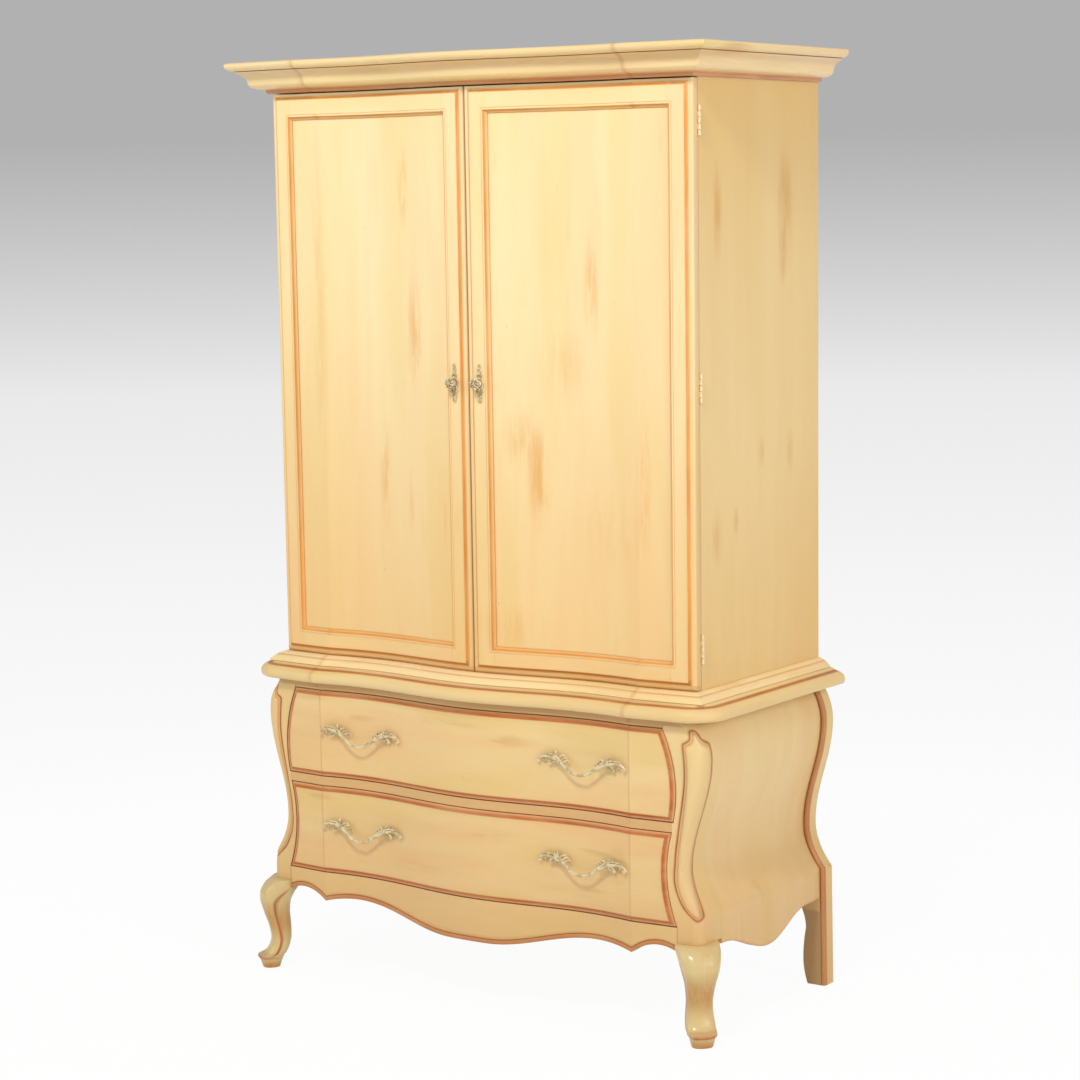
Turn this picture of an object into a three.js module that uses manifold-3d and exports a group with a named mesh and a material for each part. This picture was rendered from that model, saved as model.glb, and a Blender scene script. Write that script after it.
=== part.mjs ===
// A two-door television armoire in painted and glazed wood, in millimetres.
// It is a panelled upper case on a bombe base with two drawers, cabriole front legs and shaped rear posts.
// The frame: +X is to the viewer's right, -Y is the front, +Z is up. The origin is on the floor, under the
// middle of the outer box. Depths are measured forward from the plane of the back.
import * as THREE from 'three';
import { mergeVertices } from 'three/addons/utils/BufferGeometryUtils.js';
import Module from 'manifold-3d';

// Clearances
const seatGap = 0.3; // between pieces that are glued or rest on each other
const drawerGap = 1.5; // round a drawer front
const doorGap = 1; // between a door's back and the case
const doorEdgeGap = 2.5; // above, below and between the doors
const overrun = 40; // how far a cutter runs past what it cuts

// Upper case
const overallHeight = 2100;
const upperWidth = 1120;
const upperDepth = 503;
const sideThickness = 18;
const boardThickness = 19;
const backThickness = 8;
const backInset = 2;
const shelfHeight = 1100;
const shelfThickness = 22;
const shelfSetback = 22;
const dadoDepth = 6;
const cableHoleWidth = 120;
const cableHoleHeight = 60;
const cableHoleRise = 70;
const corniceHeight = 69;
const corniceProjection = 76;
const corniceCapThickness = 15;
const deckHeight = 21;
const deckProjection = 31;

// Serpentine front, seen from above
const bulge = 30;
const bulgeHalfWidth = 310;
const creaseRise = 10;
const creaseHalfWidth = 423;
const stationStep = 62; // between the sections of a curved board
const edgeStep = 12; // and between those of the apron's scalloped ends

// Doors
const doorThickness = 22;
const stileWidth = 52;
const lipWidth = 9;
const lipDrop = 5;
const coveWidth = 5;
const stickingWidth = 8;
const stickingDrop = 4.5;
const panelRecess = 6;
const panelThickness = 10;
const panelTongue = 8;

// Base
const slabTop = 732;
const slabHeight = 48;
const slabProjection = 68;
const slabCornerRadius = 80;
const slabCornerShare = 0.83; // how fast the corner tightens as the profile draws in
const frameRebate = 16;
const skirtThickness = 3; // least wood left in front of the rebate
const lowerDepth = 566;
const bellyHalfWidth = 598;
const bellyDrop = 69; // from the slab down to the widest place
const neckHalfWidth = 553;
const neckDrop = 241; // from there down to the narrowest
const ledgeHalfWidth = 595;
const ledgeDrop = 100; // and from there to the ridge over the legs
const footHalfWidth = 599;
const shoulderHalfWidth = 577.5;
const panelSet = 4; // the corner posts and the panels' front edges lie this far inside the rear posts' faces
const panelSetRear = 12; // and the panels' rear edges this far
const legStandOut = 8; // how far a front leg's corner stands ahead of the post
const panelThicknessLow = 18;
const cornerRadius = 34;
const cornerRadiusLow = 15; // under the pad, over the leg
const cornerFlare = 30; // height over which the radius changes
const cornerPostDepth = 85;
const rearPostDepth = 40;
const postBeadWidth = 9;
const postQuirk = 1.5;
const legHeight = 214;
const legDepth = 82;
const legWidth = 96;
const railShow = 5.5;
const dividerHeight = 21;
const dustPanelThickness = 12;
const bottomThickness = 15;
const apronThickness = 20;
const apronDrop = 97.5;
const apronArchDrop = 42.5;
const apronArchHalf = 331;
const apronFlatHalf = 50;
const apronCuspDrop = 67.5;
const apronPeakDrop = 55;
const apronEndArchCentre = 490;
const apronBeadWidth = 9.5;
const apronBeadRise = 3;
const sideApronLow = 151.5;
const sideApronHigh = 202;
const sideApronCentre = 272;
const sideApronFrontReach = 200;
const sideApronRearReach = 172;
const rearLegNeckHalf = 548;
const rearLegHollowHalf = 541;
const rearLegFootHalf = 552;
const rearLegNeckHeight = 130;
const rearLegHollowShare = 0.46; // of the neck's height, where the leg is hollowed most

// Carved leaf pad on each corner post
const padHalfWidth = 31;
const padRise = 4.5;
const padTopDrop = 7; // from the slab down to the pad's tip
const padFootDrop = 8; // from the ridge down to its lower tip

// Drawers
const upperDrawerHeight = 200;
const lowerDrawerHeight = 203;
const drawerFrontThickness = 22;
const drawerProud = 4;
const beltFace = 65; // the post's front face beside the upper drawer, where that drawer is widest
const neckFace = 43; // and beside the lower drawer, where that drawer is narrowest
const upperDrawerTaper = 32;
const lowerDrawerTaper = 22.5;
const drawerBoxWall = 12;
const drawerBoxLength = 465;
const upperBoxHeight = 165;
const lowerBoxHeight = 168;
const drawerBottomThickness = 6;
const drawerBottomRise = 10;
const drawerGroove = 5;
const guideClearance = 1.5;
const railThickness = 20;
const postStep = 0.5; // height of the step in the posts between the two drawers

// Hinges: butt hinges with five knuckles and a fixed pin
const hingeLength = 63.5;
const hingeBarrelRadius = 3.3;
const hingePinRadius = 1.4;
const hingeBoreRadius = 2;
const hingeLeafThickness = 1.8;
const hingeLeafWidth = 15;
const hingeKnuckleGap = 0.4;
const hingeStandOff = 3.5;
const hingeInset = 86;
const mortiseGap = 0.3;
const leafGap = 0.4;

// Hardware
const catchWidth = 70;
const catchDepth = 28;
const catchHeight = 16;
const catchSetback = 3;
const pullHalfSpan = 113;
const pullPostHalf = 64;
const pullDip = 35; // from the crest of the arms down to the middle of the bail
const pullStandOff = 27;
const pullPostRadius = 4.5;
const pullLobeRadius = 6;
const drawerPullHalfWidth = 299;
const upperPullDrop = 6; // how far the pull's middle lies under the drawer's
const lowerPullDrop = 1.5;
const bailRadius = 3.4;
const knobPlateHeight = 86;
const knobPlateWidth = 26;
const knobPlateThickness = 3;
const knobRadius = 14;
const knobNeckRadius = 5;
const knobProjection = 27;
const knobHalfWidth = 34;

// Sizes that follow from the ones above
const upperHalf = upperWidth / 2;
const doorFace = upperDepth + doorGap + doorThickness;
const halfDepth = (doorFace + corniceProjection + bulge) / 2;
const corniceBottom = overallHeight - corniceHeight;
const deckTop = slabTop + deckHeight;
const doorBottom = deckTop + doorEdgeGap;
const doorTop = corniceBottom - doorEdgeGap;
const doorMiddle = (doorBottom + doorTop) / 2;
const slabBottom = slabTop - slabHeight;
const frameTop = slabBottom + frameRebate;
const bellyHeight = slabBottom - bellyDrop;
const neckHeight = bellyHeight - neckDrop;
const ledgeHeight = neckHeight - ledgeDrop;
const padTop = slabBottom - padTopDrop;
const padBottom = ledgeHeight - padFootDrop;
const railBottom = slabBottom - railShow;
const upperDrawerTop = railBottom - drawerGap;
const upperDrawerBottom = upperDrawerTop - upperDrawerHeight;
const dividerTop = upperDrawerBottom - drawerGap;
const dividerBottom = dividerTop - dividerHeight;
const lowerDrawerTop = dividerBottom - drawerGap;
const lowerDrawerBottom = lowerDrawerTop - lowerDrawerHeight;
const apronTop = lowerDrawerBottom - drawerGap;
const drawerFace = lowerDepth + drawerProud;
const drawerBack = drawerFace - drawerFrontThickness;
const upperDrawerHalf = bellyHalfWidth - beltFace;
const lowerDrawerHalf = neckHalfWidth - neckFace;
const stopHalf = upperDrawerHalf - upperDrawerTaper - drawerGap / 2;
const postBack = lowerDepth - cornerPostDepth;
const sideSpan = upperHalf - sideThickness;
const backFace = backInset + backThickness;

const wasm = await Module();
wasm.setup();

const paint = new THREE.MeshStandardMaterial({ color: 0xe9cf9a, roughness: 0.45 });
const doorPaint = new THREE.MeshStandardMaterial({ color: 0xf8dfae, roughness: 0.42 });
const rawWood = new THREE.MeshStandardMaterial({ color: 0xc9a877, roughness: 0.7 });
const pewter = new THREE.MeshStandardMaterial({ color: 0xcfc4a6, roughness: 0.4, metalness: 0.6 });
const brass = new THREE.MeshStandardMaterial({ color: 0xd8c79a, roughness: 0.35, metalness: 0.8 });
const black = new THREE.MeshStandardMaterial({ color: 0x2b2724, roughness: 0.6 });

// A depth forward from the back plane, as a place along Y
const ahead = (depth) => halfDepth - depth;

// Turns positions and triangles into a solid, with its faces turned outwards
function solid(positions, triangles) {
  const geometry = new THREE.BufferGeometry();
  geometry.setAttribute('position', new THREE.Float32BufferAttribute(positions, 3));
  geometry.setIndex(triangles);
  const merged = mergeVertices(geometry);
  const corners = Array.from(merged.index.array);
  const make = () => new wasm.Manifold(new wasm.Mesh({
    numProp: 3,
    vertProperties: new Float32Array(merged.attributes.position.array),
    triVerts: new Uint32Array(corners),
  }));
  const made = make();
  if (made.volume() > 0) return made;
  for (let i = 0; i < corners.length; i += 3) {
    [corners[i], corners[i + 1]] = [corners[i + 1], corners[i]];
  }
  return make();
}

function solidOf(geometry) {
  const bare = geometry.clone();
  bare.deleteAttribute('normal');
  bare.deleteAttribute('uv');
  const merged = mergeVertices(bare);
  const count = merged.attributes.position.count;
  const index = merged.index ? merged.index.array : Array.from({ length: count }, (_, i) => i);
  return solid(Array.from(merged.attributes.position.array), Array.from(index));
}

// Joins a row of cross-sections, each a closed ring of [x, y, z] with as many points as the others
function loft(sections) {
  const ring = sections[0].length;
  const triangles = [];
  for (let s = 0; s + 1 < sections.length; s += 1) {
    for (let i = 0; i < ring; i += 1) {
      const next = (i + 1) % ring;
      const a = s * ring + i;
      const b = s * ring + next;
      triangles.push(a, b, b + ring, a, b + ring, a + ring);
    }
  }
  const last = (sections.length - 1) * ring;
  capOf(sections[0]).forEach(([a, b, c]) => triangles.push(c, b, a));
  capOf(sections[sections.length - 1]).forEach(([a, b, c]) => triangles.push(last + a, last + b, last + c));
  return solid(sections.flat(2), triangles);
}

// Triangles that close a flat ring, wound as the ring is
function capOf(section) {
  const normal = new THREE.Vector3();
  section.forEach(([x, y, z], i) => {
    const [u, v, w] = section[(i + 1) % section.length];
    normal.add(new THREE.Vector3((y - v) * (z + w), (z - w) * (x + u), (x - u) * (y + v)));
  });
  const sizes = [Math.abs(normal.x), Math.abs(normal.y), Math.abs(normal.z)];
  const axis = sizes.indexOf(Math.max(...sizes));
  const [first, second] = [[1, 2], [2, 0], [0, 1]][axis];
  const flat = section.map((p) => new THREE.Vector2(p[first], p[second]));
  const turned = THREE.ShapeUtils.isClockWise(flat) !== (normal.getComponent(axis) < 0);
  const faces = THREE.ShapeUtils.triangulateShape(flat, []);
  return faces.map(([a, b, c]) => {
    const area = flat[b].clone().sub(flat[a]).cross(flat[c].clone().sub(flat[a]));
    const positive = area > 0;
    const wanted = (normal.getComponent(axis) > 0) !== turned;
    return positive === wanted ? [a, b, c] : [c, b, a];
  });
}

// A plain board between two corners
function board([x0, y0, z0], [x1, y1, z1]) {
  const geometry = new THREE.BoxGeometry(Math.abs(x1 - x0), Math.abs(y1 - y0), Math.abs(z1 - z0));
  geometry.translate((x0 + x1) / 2, (y0 + y1) / 2, (z0 + z1) / 2);
  return solidOf(geometry);
}

// A prism whose outline of [x, z] points runs along Y, or of [y, z] points along X
function alongY(outline, y0, y1) {
  return loft([y0, y1].map((y) => outline.map(([x, z]) => [x, y, z])));
}

function alongX(outline, x0, x1) {
  return loft([x0, x1].map((x) => outline.map(([y, z]) => [x, y, z])));
}

// Values from one end to the other in equal steps no longer than the one asked for
function steps(from, to, longest) {
  const count = Math.max(1, Math.ceil(Math.abs(to - from) / longest));
  return Array.from({ length: count + 1 }, (_, i) => from + ((to - from) * i) / count);
}

// How far the serpentine front stands ahead of its flat ends
function frontRise(x) {
  const across = Math.abs(x);
  if (across < bulgeHalfWidth) return (bulge * (1 + Math.cos((Math.PI * across) / bulgeHalfWidth))) / 2;
  if (across < creaseHalfWidth) {
    return creaseRise * ((across - bulgeHalfWidth) / (creaseHalfWidth - bulgeHalfWidth)) ** 2;
  }
  return creaseRise * Math.max(0, (upperHalf - across) / (upperHalf - creaseHalfWidth));
}

// Places across the front, with the creases and the foot of the bulge always among them
function frontStations(x0, x1) {
  const fixed = [-creaseHalfWidth, -bulgeHalfWidth, bulgeHalfWidth, creaseHalfWidth];
  const marks = [x0, ...fixed.filter((x) => x > x0 && x < x1), x1];
  const all = marks.slice(1).flatMap((x, i) => {
    const curved = Math.abs(marks[i] + x) / 2 < creaseHalfWidth;
    return steps(marks[i], x, curved ? stationStep : x - marks[i]).slice(1);
  });
  return [x0, ...all];
}

// A board that follows the serpentine front: rows of [depth, z] swept from x0 to x1
function serpentine(profile, x0, x1) {
  const section = (x) => profile.map(([depth, z]) => [x, ahead(depth + frontRise(x)), z]);
  return loft(frontStations(x0, x1).map(section));
}

// A board from a straight back edge to a serpentine front edge
function frontEdged(backDepth, frontDepth, z0, z1, half) {
  return loft(frontStations(-half, half).map((x) => {
    const front = ahead(frontDepth + frontRise(x));
    const back = ahead(backDepth);
    return [[x, front, z0], [x, back, z0], [x, back, z1], [x, front, z1]];
  }));
}

// A door or drawer front: a lip all round, then a cove up to the raised field.
// outlineAt gives the closed [x, z] outline drawn in by an inset, and reach is the x range it fills.
function lippedFront(outlineAt, face, thickness, reach, zLow, zHigh) {
  const [x0, x1] = reach;
  const lip = face - lipDrop;
  const coveShares = [[0, 0], [0.65, 0.24], [1, 1]];
  const levels = coveShares.map(([across, up]) => [lipWidth + coveWidth * across, lip + lipDrop * up]);
  const field = [
    outlineAt(lipWidth).map(([x, z]) => [x, ahead(lip - overrun), z]),
    ...levels.map(([inset, depth]) => outlineAt(inset).map(([x, z]) => [x, ahead(depth + frontRise(x)), z])),
    outlineAt(lipWidth + coveWidth).map(([x, z]) => [x, ahead(face + bulge + overrun), z]),
  ];
  const back = face - thickness;
  const whole = serpentine([[back, zLow], [face, zLow], [face, zHigh], [back, zHigh]], x0, x1);
  const low = serpentine([[back, zLow], [lip, zLow], [lip, zHigh], [back, zHigh]], x0, x1);
  const outline = alongY(outlineAt(0), ahead(back - overrun), ahead(face + bulge + overrun));
  return low.add(whole.intersect(loft(field))).intersect(outline);
}

// Half-width of the base over the rear posts, at a height
function sideHalf(z) {
  if (z > bellyHeight) {
    const up = (z - bellyHeight) / (slabBottom - bellyHeight);
    return bellyHalfWidth - (bellyHalfWidth - shoulderHalfWidth) * up ** 2;
  }
  if (z > neckHeight) {
    const turn = (Math.PI * (bellyHeight - z)) / (bellyHeight - neckHeight);
    return (bellyHalfWidth + neckHalfWidth) / 2 + ((bellyHalfWidth - neckHalfWidth) * Math.cos(turn)) / 2;
  }
  if (z > ledgeHeight) {
    const down = (neckHeight - z) / (neckHeight - ledgeHeight);
    return neckHalfWidth + (ledgeHalfWidth - neckHalfWidth) * down ** 2;
  }
  return ledgeHalfWidth + ((footHalfWidth - ledgeHalfWidth) * (ledgeHeight - z)) / ledgeHeight;
}

const panelHalf = (z) => sideHalf(z) - panelSet;

// Heights at which the base's curved pieces are sampled
function baseHeights(z0, z1) {
  const marks = [z0, ...[ledgeHeight, neckHeight, bellyHeight].filter((z) => z > z0 && z < z1), z1];
  const longest = (bellyHeight - neckHeight) / 8;
  return [z0, ...marks.slice(1).flatMap((z, i) => {
    const straight = z <= ledgeHeight;
    return steps(marks[i], z, straight ? z - marks[i] : longest).slice(1);
  })];
}

// Half-widths of the two drawer fronts, whose ends follow the swell of the sides
const upperEdgeShare = 0.315;
const lowerEdgeShare = 0.58;

function upperDrawerEdge(z) {
  const middle = upperDrawerBottom + upperDrawerHeight * upperEdgeShare;
  return upperDrawerHalf - upperDrawerTaper * ((z - middle) / (upperDrawerTop - middle)) ** 2;
}

function lowerDrawerEdge(z) {
  const middle = lowerDrawerBottom + lowerDrawerHeight * lowerEdgeShare;
  return lowerDrawerHalf + lowerDrawerTaper * ((z - middle) / (middle - lowerDrawerBottom)) ** 2;
}

// The inner edge of a corner post's face
function postInner(z) {
  const { clamp } = THREE.MathUtils;
  if (z <= dividerTop) return lowerDrawerEdge(clamp(z, lowerDrawerBottom, lowerDrawerTop)) + drawerGap;
  return upperDrawerEdge(clamp(z, upperDrawerBottom, upperDrawerTop)) + drawerGap;
}

// Heights for a corner post: those of the side's curve, and those of the drawers' ends
function postHeights(z0, z1) {
  const drawers = [[lowerDrawerBottom, lowerDrawerTop], [upperDrawerBottom, upperDrawerTop]];
  const all = [z0, z1, ledgeHeight, neckHeight, bellyHeight, dividerTop, dividerTop + postStep,
    ...steps(padBottom - cornerFlare / 2, padBottom + cornerFlare / 2, cornerFlare / 3),
    ...drawers.flatMap(([low, high]) => steps(low, high, (high - low) / 7))];
  const sorted = all.filter((z) => z >= z0 && z <= z1).sort((a, b) => a - b);
  return sorted.filter((z, i) => i === 0 || z - sorted[i - 1] > seatGap);
}

// Mirrors a solid from the right side of the armoire to the left
function mirrored(shape) {
  const mesh = shape.getMesh();
  const positions = [];
  for (let i = 0; i < mesh.vertProperties.length; i += mesh.numProp) {
    positions.push(-mesh.vertProperties[i], mesh.vertProperties[i + 1], mesh.vertProperties[i + 2]);
  }
  return solid(positions, Array.from(mesh.triVerts));
}

const group = new THREE.Group();

function piece(name, shape, material) {
  const mesh = shape.getMesh();
  const geometry = new THREE.BufferGeometry();
  const positions = new THREE.Float32BufferAttribute(mesh.vertProperties, mesh.numProp);
  geometry.setAttribute('position', positions);
  geometry.setIndex(Array.from(mesh.triVerts));
  geometry.computeVertexNormals();
  const made = new THREE.Mesh(geometry, material);
  made.name = name;
  group.add(made);
  return made;
}

// Adds a right-hand piece and its mirror image on the left
function pair(name, shape, material) {
  piece(`${name}_right`, shape, material);
  piece(`${name}_left`, mirrored(shape), material);
}

// The plan of a moulded top: straight sides, serpentine front, and corners that may be rounded
function mouldedPlan(side, front, radius, largest) {
  const x = upperHalf + side;
  const depth = doorFace + front;
  const round = radius > 0 ? radius - (largest - side) * slabCornerShare : 0;
  const corner = round > 0 ? steps(0, Math.PI / 2, Math.PI / 10) : [0];
  const right = corner.map((turn) => (round > 0
    ? [x - round + round * Math.sin(turn), depth - round + round * Math.cos(turn)]
    : [x, depth]));
  const stations = frontStations(-creaseHalfWidth, creaseHalfWidth);
  return [
    [-x, 0],
    ...right.slice().reverse().map(([u, d]) => [-u, d]),
    ...stations.map((u) => [u, depth + frontRise(u)]),
    ...right,
    [x, 0],
  ];
}

// Stacks moulded plans: rows of [height, side projection, front projection]
function moulding(rows, radius, largest) {
  return loft(rows.map(([z, side, front]) => mouldedPlan(side, front, radius, largest)
    .map(([x, depth]) => [x, ahead(depth), z])));
}

// Cornice: bands, an ogee and a rounded top edge, over a recess that drops onto the upper case
function cornice() {
  const profileShares = [
    [0, 0.08], [0.09, 0.2], [0.16, 0.29], [0.22, 0.4], [0.33, 0.46], [0.46, 0.51], [0.54, 0.58],
    [0.62, 0.74], [0.68, 0.81], [0.72, 0.9], [0.82, 0.99], [0.93, 1], [1, 0.95],
  ];
  const rows = profileShares.map(([up, out]) => [
    corniceBottom + corniceHeight * up, corniceProjection * out, corniceProjection * out]);
  const top = overallHeight - corniceCapThickness;
  const half = upperHalf + seatGap;
  const recess = frontEdged(-overrun, upperDepth + seatGap, corniceBottom - overrun, top, half);
  return moulding(rows, 0, 0).subtract(recess);
}

// Base top: a slab with a bullnose edge and a cove below it, rebated over the base's frame
function baseTop() {
  const profileShares = [
    [0, 0.22], [0.05, 0.3], [0.13, 0.5], [0.24, 0.72], [0.35, 0.89], [0.44, 0.96], [0.58, 1], [0.75, 0.93],
    [0.85, 0.81], [0.9, 0.66], [1, 0.52],
  ];
  const least = lowerDepth + skirtThickness - doorFace;
  const rows = profileShares.map(([up, out]) => [
    slabBottom + slabHeight * up, slabProjection * out, Math.max(least, slabProjection * out)]);
  const recess = frontEdged(
    -overrun, lowerDepth + seatGap, slabBottom - overrun, frameTop + seatGap, shoulderHalfWidth + seatGap);
  return moulding(rows, slabCornerRadius, slabProjection).subtract(recess);
}

// Deck: the floor of the upper case, with an ogee worked on three edges
function deck() {
  const profileShares = [[0, 0.97], [0.06, 1], [0.33, 0.81], [0.62, 0.61], [0.86, 0.35], [1, 0.06]];
  const low = slabTop + seatGap;
  const rows = profileShares.map(([up, out]) => [
    low + (deckTop - low) * up, deckProjection * out, deckProjection * out]);
  return moulding(rows, 0, 0);
}

// Upper case
const dadoBottom = shelfHeight - seatGap;
const dadoTop = shelfHeight + shelfThickness + seatGap;
const hingeMiddles = [doorTop - hingeInset, doorMiddle, doorBottom + hingeInset];
const hingeX = upperHalf + hingeStandOff;
const hingeDepth = upperDepth + doorGap / 2;

// The mortise for one leaf, cut into the case edge or the door's back
function mortise(middle, depth0, depth1) {
  const half = hingeLength / 2 + mortiseGap;
  return board(
    [upperHalf - hingeLeafWidth - mortiseGap, ahead(depth0), middle - half],
    [upperHalf + overrun, ahead(depth1), middle + half],
  );
}

function upperSide() {
  const top = overallHeight - corniceCapThickness - seatGap;
  let shape = board([sideSpan, ahead(0), deckTop + seatGap], [upperHalf, ahead(upperDepth), top]);
  const dado = board(
    [sideSpan - overrun, ahead(backFace), dadoBottom],
    [sideSpan + dadoDepth, ahead(upperDepth - shelfSetback + seatGap), dadoTop],
  );
  shape = shape.subtract(dado);
  const floorOfMortise = hingeDepth - leafGap / 2 - hingeLeafThickness - mortiseGap;
  hingeMiddles.forEach((z) => {
    shape = shape.subtract(mortise(z, floorOfMortise, upperDepth + overrun));
  });
  return shape;
}

pair('upper_side', upperSide(), paint);
piece('upper_deck', deck(), paint);
piece('cornice', cornice(), paint);
piece('upper_top', frontEdged(
  backFace + seatGap, upperDepth, corniceBottom, corniceBottom + boardThickness, sideSpan - seatGap,
), rawWood);
piece('tv_shelf', board(
  [-sideSpan - dadoDepth + seatGap, ahead(backFace + seatGap), shelfHeight],
  [sideSpan + dadoDepth - seatGap, ahead(upperDepth - shelfSetback), shelfHeight + shelfThickness],
), rawWood);

function roundedHole(x, z, width, height) {
  const radius = height / 2;
  const reach = width / 2 - radius;
  const turns = steps(-Math.PI / 2, Math.PI / 2, Math.PI / 6);
  const right = turns.map((turn) => [x + reach + radius * Math.cos(turn), z + radius * Math.sin(turn)]);
  const left = turns.map((turn) => [x - reach - radius * Math.cos(turn), z - radius * Math.sin(turn)]);
  return alongY([...right, ...left], ahead(-overrun), ahead(backFace + overrun));
}

function upperBack() {
  const half = sideSpan - seatGap;
  const low = deckTop + seatGap;
  const high = overallHeight - corniceCapThickness - seatGap;
  const sheet = board([-half, ahead(backInset), low], [half, ahead(backFace), high]);
  return sheet
    .subtract(roundedHole(0, low + cableHoleRise, cableHoleWidth, cableHoleHeight))
    .subtract(roundedHole(0, dadoTop + cableHoleRise, cableHoleWidth, cableHoleHeight));
}

piece('upper_back', upperBack(), rawWood);

const catchFace = upperDepth + bulge - catchSetback;
const catchTop = corniceBottom - seatGap;
piece('magnetic_catch', board(
  [-catchWidth / 2, ahead(catchFace - catchDepth), catchTop - catchHeight],
  [catchWidth / 2, ahead(catchFace), catchTop],
), black);

// Doors: a frame of two stiles and two rails round a panel that sits in a groove
const doorInner = doorEdgeGap / 2;
const doorOuter = upperHalf;

function openingAt(spread) {
  const x0 = doorInner + stileWidth - spread;
  const x1 = doorOuter - stileWidth + spread;
  const z0 = doorBottom + stileWidth - spread;
  const z1 = doorTop - stileWidth + spread;
  const across = frontStations(doorInner + stileWidth, doorOuter - stileWidth);
  const inner = across.slice(1, -1);
  const low = [x0, ...inner, x1].map((x) => [x, z0]);
  const high = [x1, ...inner.slice().reverse(), x0].map((x) => [x, z1]);
  return [...low, ...high];
}

function doorFrame() {
  const outlineAt = (inset) => {
    const across = frontStations(doorInner, doorOuter).slice(1, -1);
    const along = [doorInner + inset, ...across, doorOuter - inset];
    const low = along.map((x) => [x, doorBottom + inset]);
    const high = along.reverse().map((x) => [x, doorTop - inset]);
    return [...low, ...high];
  };
  const blank = lippedFront(outlineAt, doorFace, doorThickness, [doorInner, doorOuter], doorBottom, doorTop);
  // The opening is cut right through, with a small ogee from the frame's face down to the panel.
  const ogeeShares = [[0, 1], [0.35, 0.8], [0.75, 0.2], [1, 0]];
  const curved = (spread, depth) => openingAt(spread).map(([x, z]) => [x, ahead(depth + frontRise(x)), z]);
  const level = (spread, depth) => openingAt(spread).map(([x, z]) => [x, ahead(depth), z]);
  const opening = loft([
    level(0, doorFace - doorThickness - overrun),
    ...ogeeShares.map(([across, drop]) => curved(stickingWidth * across, doorFace - stickingDrop * drop)),
    level(stickingWidth, doorFace + bulge + overrun),
  ]);
  const front = doorFace - panelRecess + seatGap;
  const back = doorFace - panelRecess - panelThickness - seatGap;
  const z0 = doorBottom + stileWidth - panelTongue - seatGap;
  const z1 = doorTop - stileWidth + panelTongue + seatGap;
  const groove = serpentine(
    [[back, z0], [front, z0], [front, z1], [back, z1]],
    doorInner + stileWidth - panelTongue - seatGap,
    doorOuter - stileWidth + panelTongue + seatGap,
  );
  let shape = blank.subtract(opening).subtract(groove);
  const floorOfMortise = hingeDepth + leafGap / 2 + hingeLeafThickness + mortiseGap;
  hingeMiddles.forEach((z) => {
    shape = shape.subtract(mortise(z, upperDepth - overrun, floorOfMortise));
  });
  return shape;
}

function doorPanel() {
  const face = doorFace - panelRecess;
  const z0 = doorBottom + stileWidth - panelTongue;
  const z1 = doorTop - stileWidth + panelTongue;
  const profile = [[face - panelThickness, z0], [face, z0], [face, z1], [face - panelThickness, z1]];
  return serpentine(profile, doorInner + stileWidth - panelTongue, doorOuter - stileWidth + panelTongue);
}

const frame = doorFrame();

function memberOf(x0, x1, z0, z1) {
  const near = ahead(upperDepth - overrun);
  const far = ahead(doorFace + bulge + overrun);
  return frame.intersect(board([x0, near, z0], [x1, far, z1]));
}

const meetingJoint = doorInner + stileWidth;
const hingeJoint = doorOuter - stileWidth;
const railStart = meetingJoint + seatGap;
const railEnd = hingeJoint - seatGap;
const beyondTop = doorTop + overrun;
const beyondBottom = doorBottom - overrun;
pair('door_meeting_stile', memberOf(doorInner - overrun, meetingJoint, beyondBottom, beyondTop), doorPaint);
pair('door_hinge_stile', memberOf(hingeJoint, doorOuter + overrun, beyondBottom, beyondTop), doorPaint);
pair('door_top_rail', memberOf(railStart, railEnd, doorMiddle, beyondTop), doorPaint);
pair('door_bottom_rail', memberOf(railStart, railEnd, beyondBottom, doorMiddle), doorPaint);
pair('door_panel', doorPanel(), doorPaint);

// Hinges
function knuckle(radius, z0, z1, sides) {
  const geometry = new THREE.CylinderGeometry(radius, radius, z1 - z0, sides);
  geometry.rotateX(Math.PI / 2);
  geometry.translate(hingeX, ahead(hingeDepth), (z0 + z1) / 2);
  return solidOf(geometry);
}

function hingeLeaf(middle, knuckles, towards) {
  const pitch = hingeLength / 5;
  const low = middle - hingeLength / 2;
  const near = hingeDepth + (towards * leafGap) / 2;
  const far = near + towards * hingeLeafThickness;
  let shape = board(
    [upperHalf - hingeLeafWidth, ahead(near), low],
    [hingeX, ahead(far), low + hingeLength],
  );
  const clear = hingeBarrelRadius + mortiseGap;
  for (let i = 0; i < 5; i += 1) {
    const mine = knuckles.includes(i);
    const z0 = low + pitch * i + (mine && i > 0 ? hingeKnuckleGap / 2 : 0);
    const z1 = low + pitch * (i + 1) - (mine && i < 4 ? hingeKnuckleGap / 2 : 0);
    const slack = mine ? 0 : hingeKnuckleGap / 2;
    const room = board(
      [hingeX - clear, ahead(hingeDepth - overrun), low + pitch * i - slack],
      [hingeX + overrun, ahead(hingeDepth + overrun), low + pitch * (i + 1) + slack],
    );
    if (mine) shape = shape.add(knuckle(hingeBarrelRadius, z0, z1, 8));
    else shape = shape.subtract(room);
  }
  return shape;
}

const caseKnuckles = [0, 2, 4];
const doorKnuckles = [1, 3];
const hingePlaces = ['top', 'middle', 'bottom'];
hingeMiddles.forEach((middle, i) => {
  const place = hingePlaces[i];
  const low = middle - hingeLength / 2;
  const bore = knuckle(hingeBoreRadius, low - overrun, low + hingeLength + overrun, 6);
  const pin = knuckle(hingePinRadius, low, low + hingeLength, 6);
  pair(`hinge_${place}_case_leaf`, hingeLeaf(middle, caseKnuckles, -1).subtract(bore), brass);
  pair(`hinge_${place}_door_leaf`, hingeLeaf(middle, doorKnuckles, 1).add(pin), brass);
});

// Base: the top, the frame that carries it and the panels between
piece('base_top', baseTop(), paint);

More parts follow.
